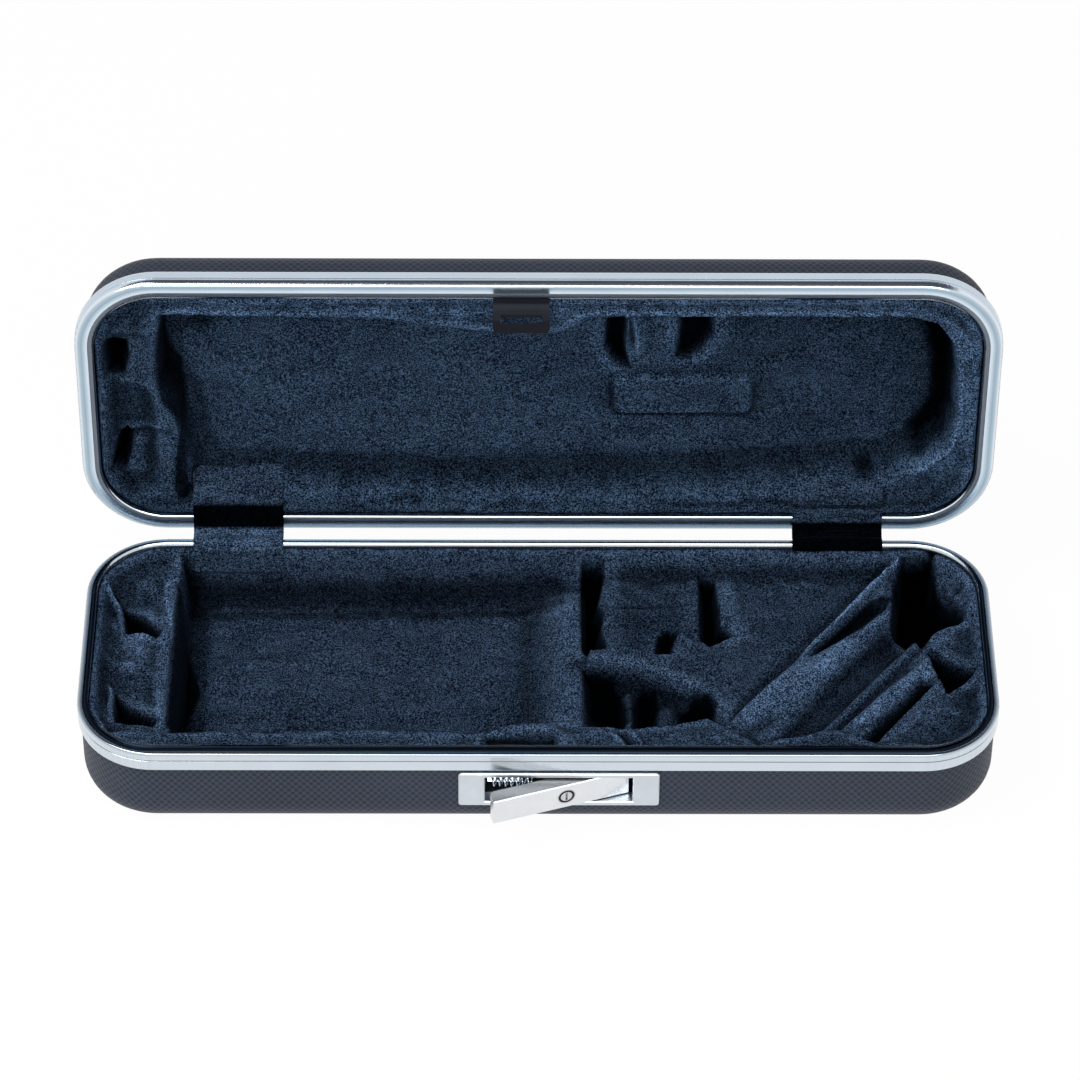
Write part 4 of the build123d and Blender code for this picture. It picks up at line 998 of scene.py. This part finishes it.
def lock_material(name):
    """Bright cylinder face with a dark ring, and a brushed turn mark round the key slot."""
    t = Tree(name)
    where = t.place()
    arm = t.vector("SUBTRACT", where, {1: LOCK_CENTRE})
    along = t.vector("DOT_PRODUCT", arm, {1: LOCK_AXIS}, "Value")
    length = t.vector("LENGTH", arm, output="Value")
    off_axis = t.minus(t.times(length, length), t.times(along, along))
    radius = t.math("SQRT", t.math("MAXIMUM", off_axis, 0.0))
    grain = t.noise(where, 0.2, 3, 0.6)
    spread = t.math("DIVIDE", t.math("MULTIPLY_ADD", grain, 0.12, radius), LOCK_RADIUS)
    stops = [(0.0, 0.62), (0.60, 0.62), (0.66, 0.02), (0.85, 0.02), (0.90, 0.60)]
    colour = t.ramp(spread, [(at, (v, v * 1.03, v * 1.06)) for at, v in stops])
    rings = t.bump(t.math("SINE", t.times(radius, 30.0)), 0.01, 0.4)
    return t.set(Base_Color=colour, Metallic=1.0, Roughness=t.grey(grain, 0.2, 0.4), Normal=rings)


finishes = {
    "base_shell": shell_material("base_shell_grain", False),
    "lid_shell": shell_material("lid_shell_grain", True),
    "base_rim": rim_material("base_rim_satin", False),
    "lid_rim": rim_material("lid_rim_satin", True),
    "lid_seal": metal("seal_rubber", (0.20, 0.22, 0.25), 0.6, 0.4, 0.05, metallic=0.0),
    "latch_bezel": metal("bezel_satin", (0.66, 0.71, 0.76), 0.34, 0.2, 0.02),
    "latch_lever": lever_material("lever_satin"),
    "latch_housing": metal("housing_black", (0.012, 0.014, 0.02), 0.45, 0.5, 0.05, metallic=0.0),
    "latch_bolt": metal("bolt_bright", (0.72, 0.78, 0.85), 0.12, 0.6, 0.03),
    "lever_pin": metal("pin_steel", (0.62, 0.62, 0.63), 0.28),
    "latch_screws": metal("screw_steel", (0.5, 0.5, 0.52), 0.3),
    "lock_cylinder": lock_material("lock_steel"),
    "striker": metal("striker_black", (0.006, 0.007, 0.011), 0.40, 0.3, 0.03, metallic=0.0, specular=0.12),
    "striker_rivets": metal("striker_rivet_black", (0.02, 0.02, 0.025), 0.35, metallic=0.0),
    "rim_splice": metal("splice_dark", (0.05, 0.055, 0.065), 0.35, 0.3, 0.03),
    "hinge_steel": metal("hinge_steel", (0.60, 0.61, 0.63), 0.30, 0.3, 0.03, stretch=(1, 0.1, 0.1)),
    "rivet_plain": metal("rivet_plain", (0.68, 0.68, 0.70), 0.32),
}
for node_name, node in nodes.items():
    key = node_name
    if "hinge_leaf" in node_name or "hinge_pin" in node_name:
        key = "hinge_steel"
    if "hinge_rivets" in node_name:
        key = "rivet_plain"
    if key in finishes:
        node.data.materials.clear()
        node.data.materials.append(finishes[key])

# ---- floor, light and camera

floor_mesh = bpy.data.meshes.new("floor")
floor_mesh.from_pydata([(-3, -3, 0), (3, -3, 0), (3, 3, 0), (-3, 3, 0)], [], [(0, 1, 2, 3)])
floor = bpy.data.objects.new("floor", floor_mesh)
scene.collection.objects.link(floor)
t = Tree("floor_pale")
t.set(Base_Color=(0.92, 0.92, 0.92, 1), Roughness=0.9)
white = t.add("ShaderNodeEmission", {"Color": (1, 1, 1, 1), "Strength": 1.0})
t.blend_seen(t.shader.outputs[0], white.outputs[0], "Material Output", 0.97)
floor_mesh.materials.append(t.material)

# A dim even sky lights the case; what it mirrors is dark overhead and white lower down
scene.world = bpy.data.worlds.new("studio")
t = Tree("studio", scene.world)
dim = t.nodes["Background"]
t.put(dim.inputs["Color"], (0.90, 0.95, 1.0, 1))
t.put(dim.inputs["Strength"], 0.18)
height = t.split(t.add("ShaderNodeTexCoord").outputs["Generated"])["Z"]
ceiling = t.ramp(height, [(0.70, (1, 1, 1)), (0.78, (0.07, 0.08, 0.10))])
bright = t.add("ShaderNodeBackground", {"Color": ceiling, "Strength": 1.0})
t.blend_seen(dim.outputs[0], bright.outputs[0], "World Output")


def softbox(name, place, target, size, power, colour):
    light = bpy.data.lights.new(name, "AREA")
    light.shape = "RECTANGLE"
    light.size, light.size_y = size
    light.energy = power
    light.color = colour
    lamp = bpy.data.objects.new(name, light)
    lamp.location = place
    lamp.rotation_euler = (Vector(target) - Vector(place)).to_track_quat("-Z", "Y").to_euler()
    scene.collection.objects.link(lamp)


softbox("key", (-0.60, -0.40, 1.25), (0, 0, 0.05), (0.8, 0.7), 15, (1.0, 0.99, 0.98))
softbox("front", (0.1, -1.15, 1.0), (0, 0, 0.06), (1.2, 0.7), 12, (0.97, 0.985, 1.0))

# The camera as fitted to the photograph, in metres and in its pixels
ELEVATION, YAW, BANK = math.radians(43.53), math.radians(0.42), math.radians(-0.40)
TARGET, DISTANCE = Vector((0, 0.05, 0.036)), 1.65878
FRAME_PX, FOCAL_PX, CENTRE_PX, SENSOR = 1080, 4901.17, (537.89, 540.70), 36


def in_view_frame(v):
    """Direction from the fitted, turned frame to the shared frame."""
    c, s = math.cos(YAW), math.sin(YAW)
    return Vector((v[0] * c + v[1] * s, -v[0] * s + v[1] * c, v[2]))


look = in_view_frame((0, math.cos(ELEVATION), -math.sin(ELEVATION)))
up = in_view_frame((0, math.sin(ELEVATION), math.cos(ELEVATION)))
side = look.cross(up)
camera_data = bpy.data.cameras.new("camera")
camera = bpy.data.objects.new("camera", camera_data)
scene.collection.objects.link(camera)
camera_data.sensor_width = SENSOR
camera_data.lens = FOCAL_PX / FRAME_PX * SENSOR
camera_data.shift_x = (FRAME_PX / 2 - CENTRE_PX[0]) / FRAME_PX
camera_data.shift_y = -(FRAME_PX / 2 - CENTRE_PX[1]) / FRAME_PX
camera_data.clip_start, camera_data.clip_end = 0.1, 20
c, s = math.cos(BANK), math.sin(BANK)
right_axis, up_axis = side * c - up * s, side * s + up * c
turn = Matrix((right_axis, up_axis, -look)).transposed().to_4x4()
camera.matrix_world = Matrix.Translation(TARGET - look * DISTANCE) @ turn
scene.camera = camera
scene.view_settings.view_transform = "Standard"
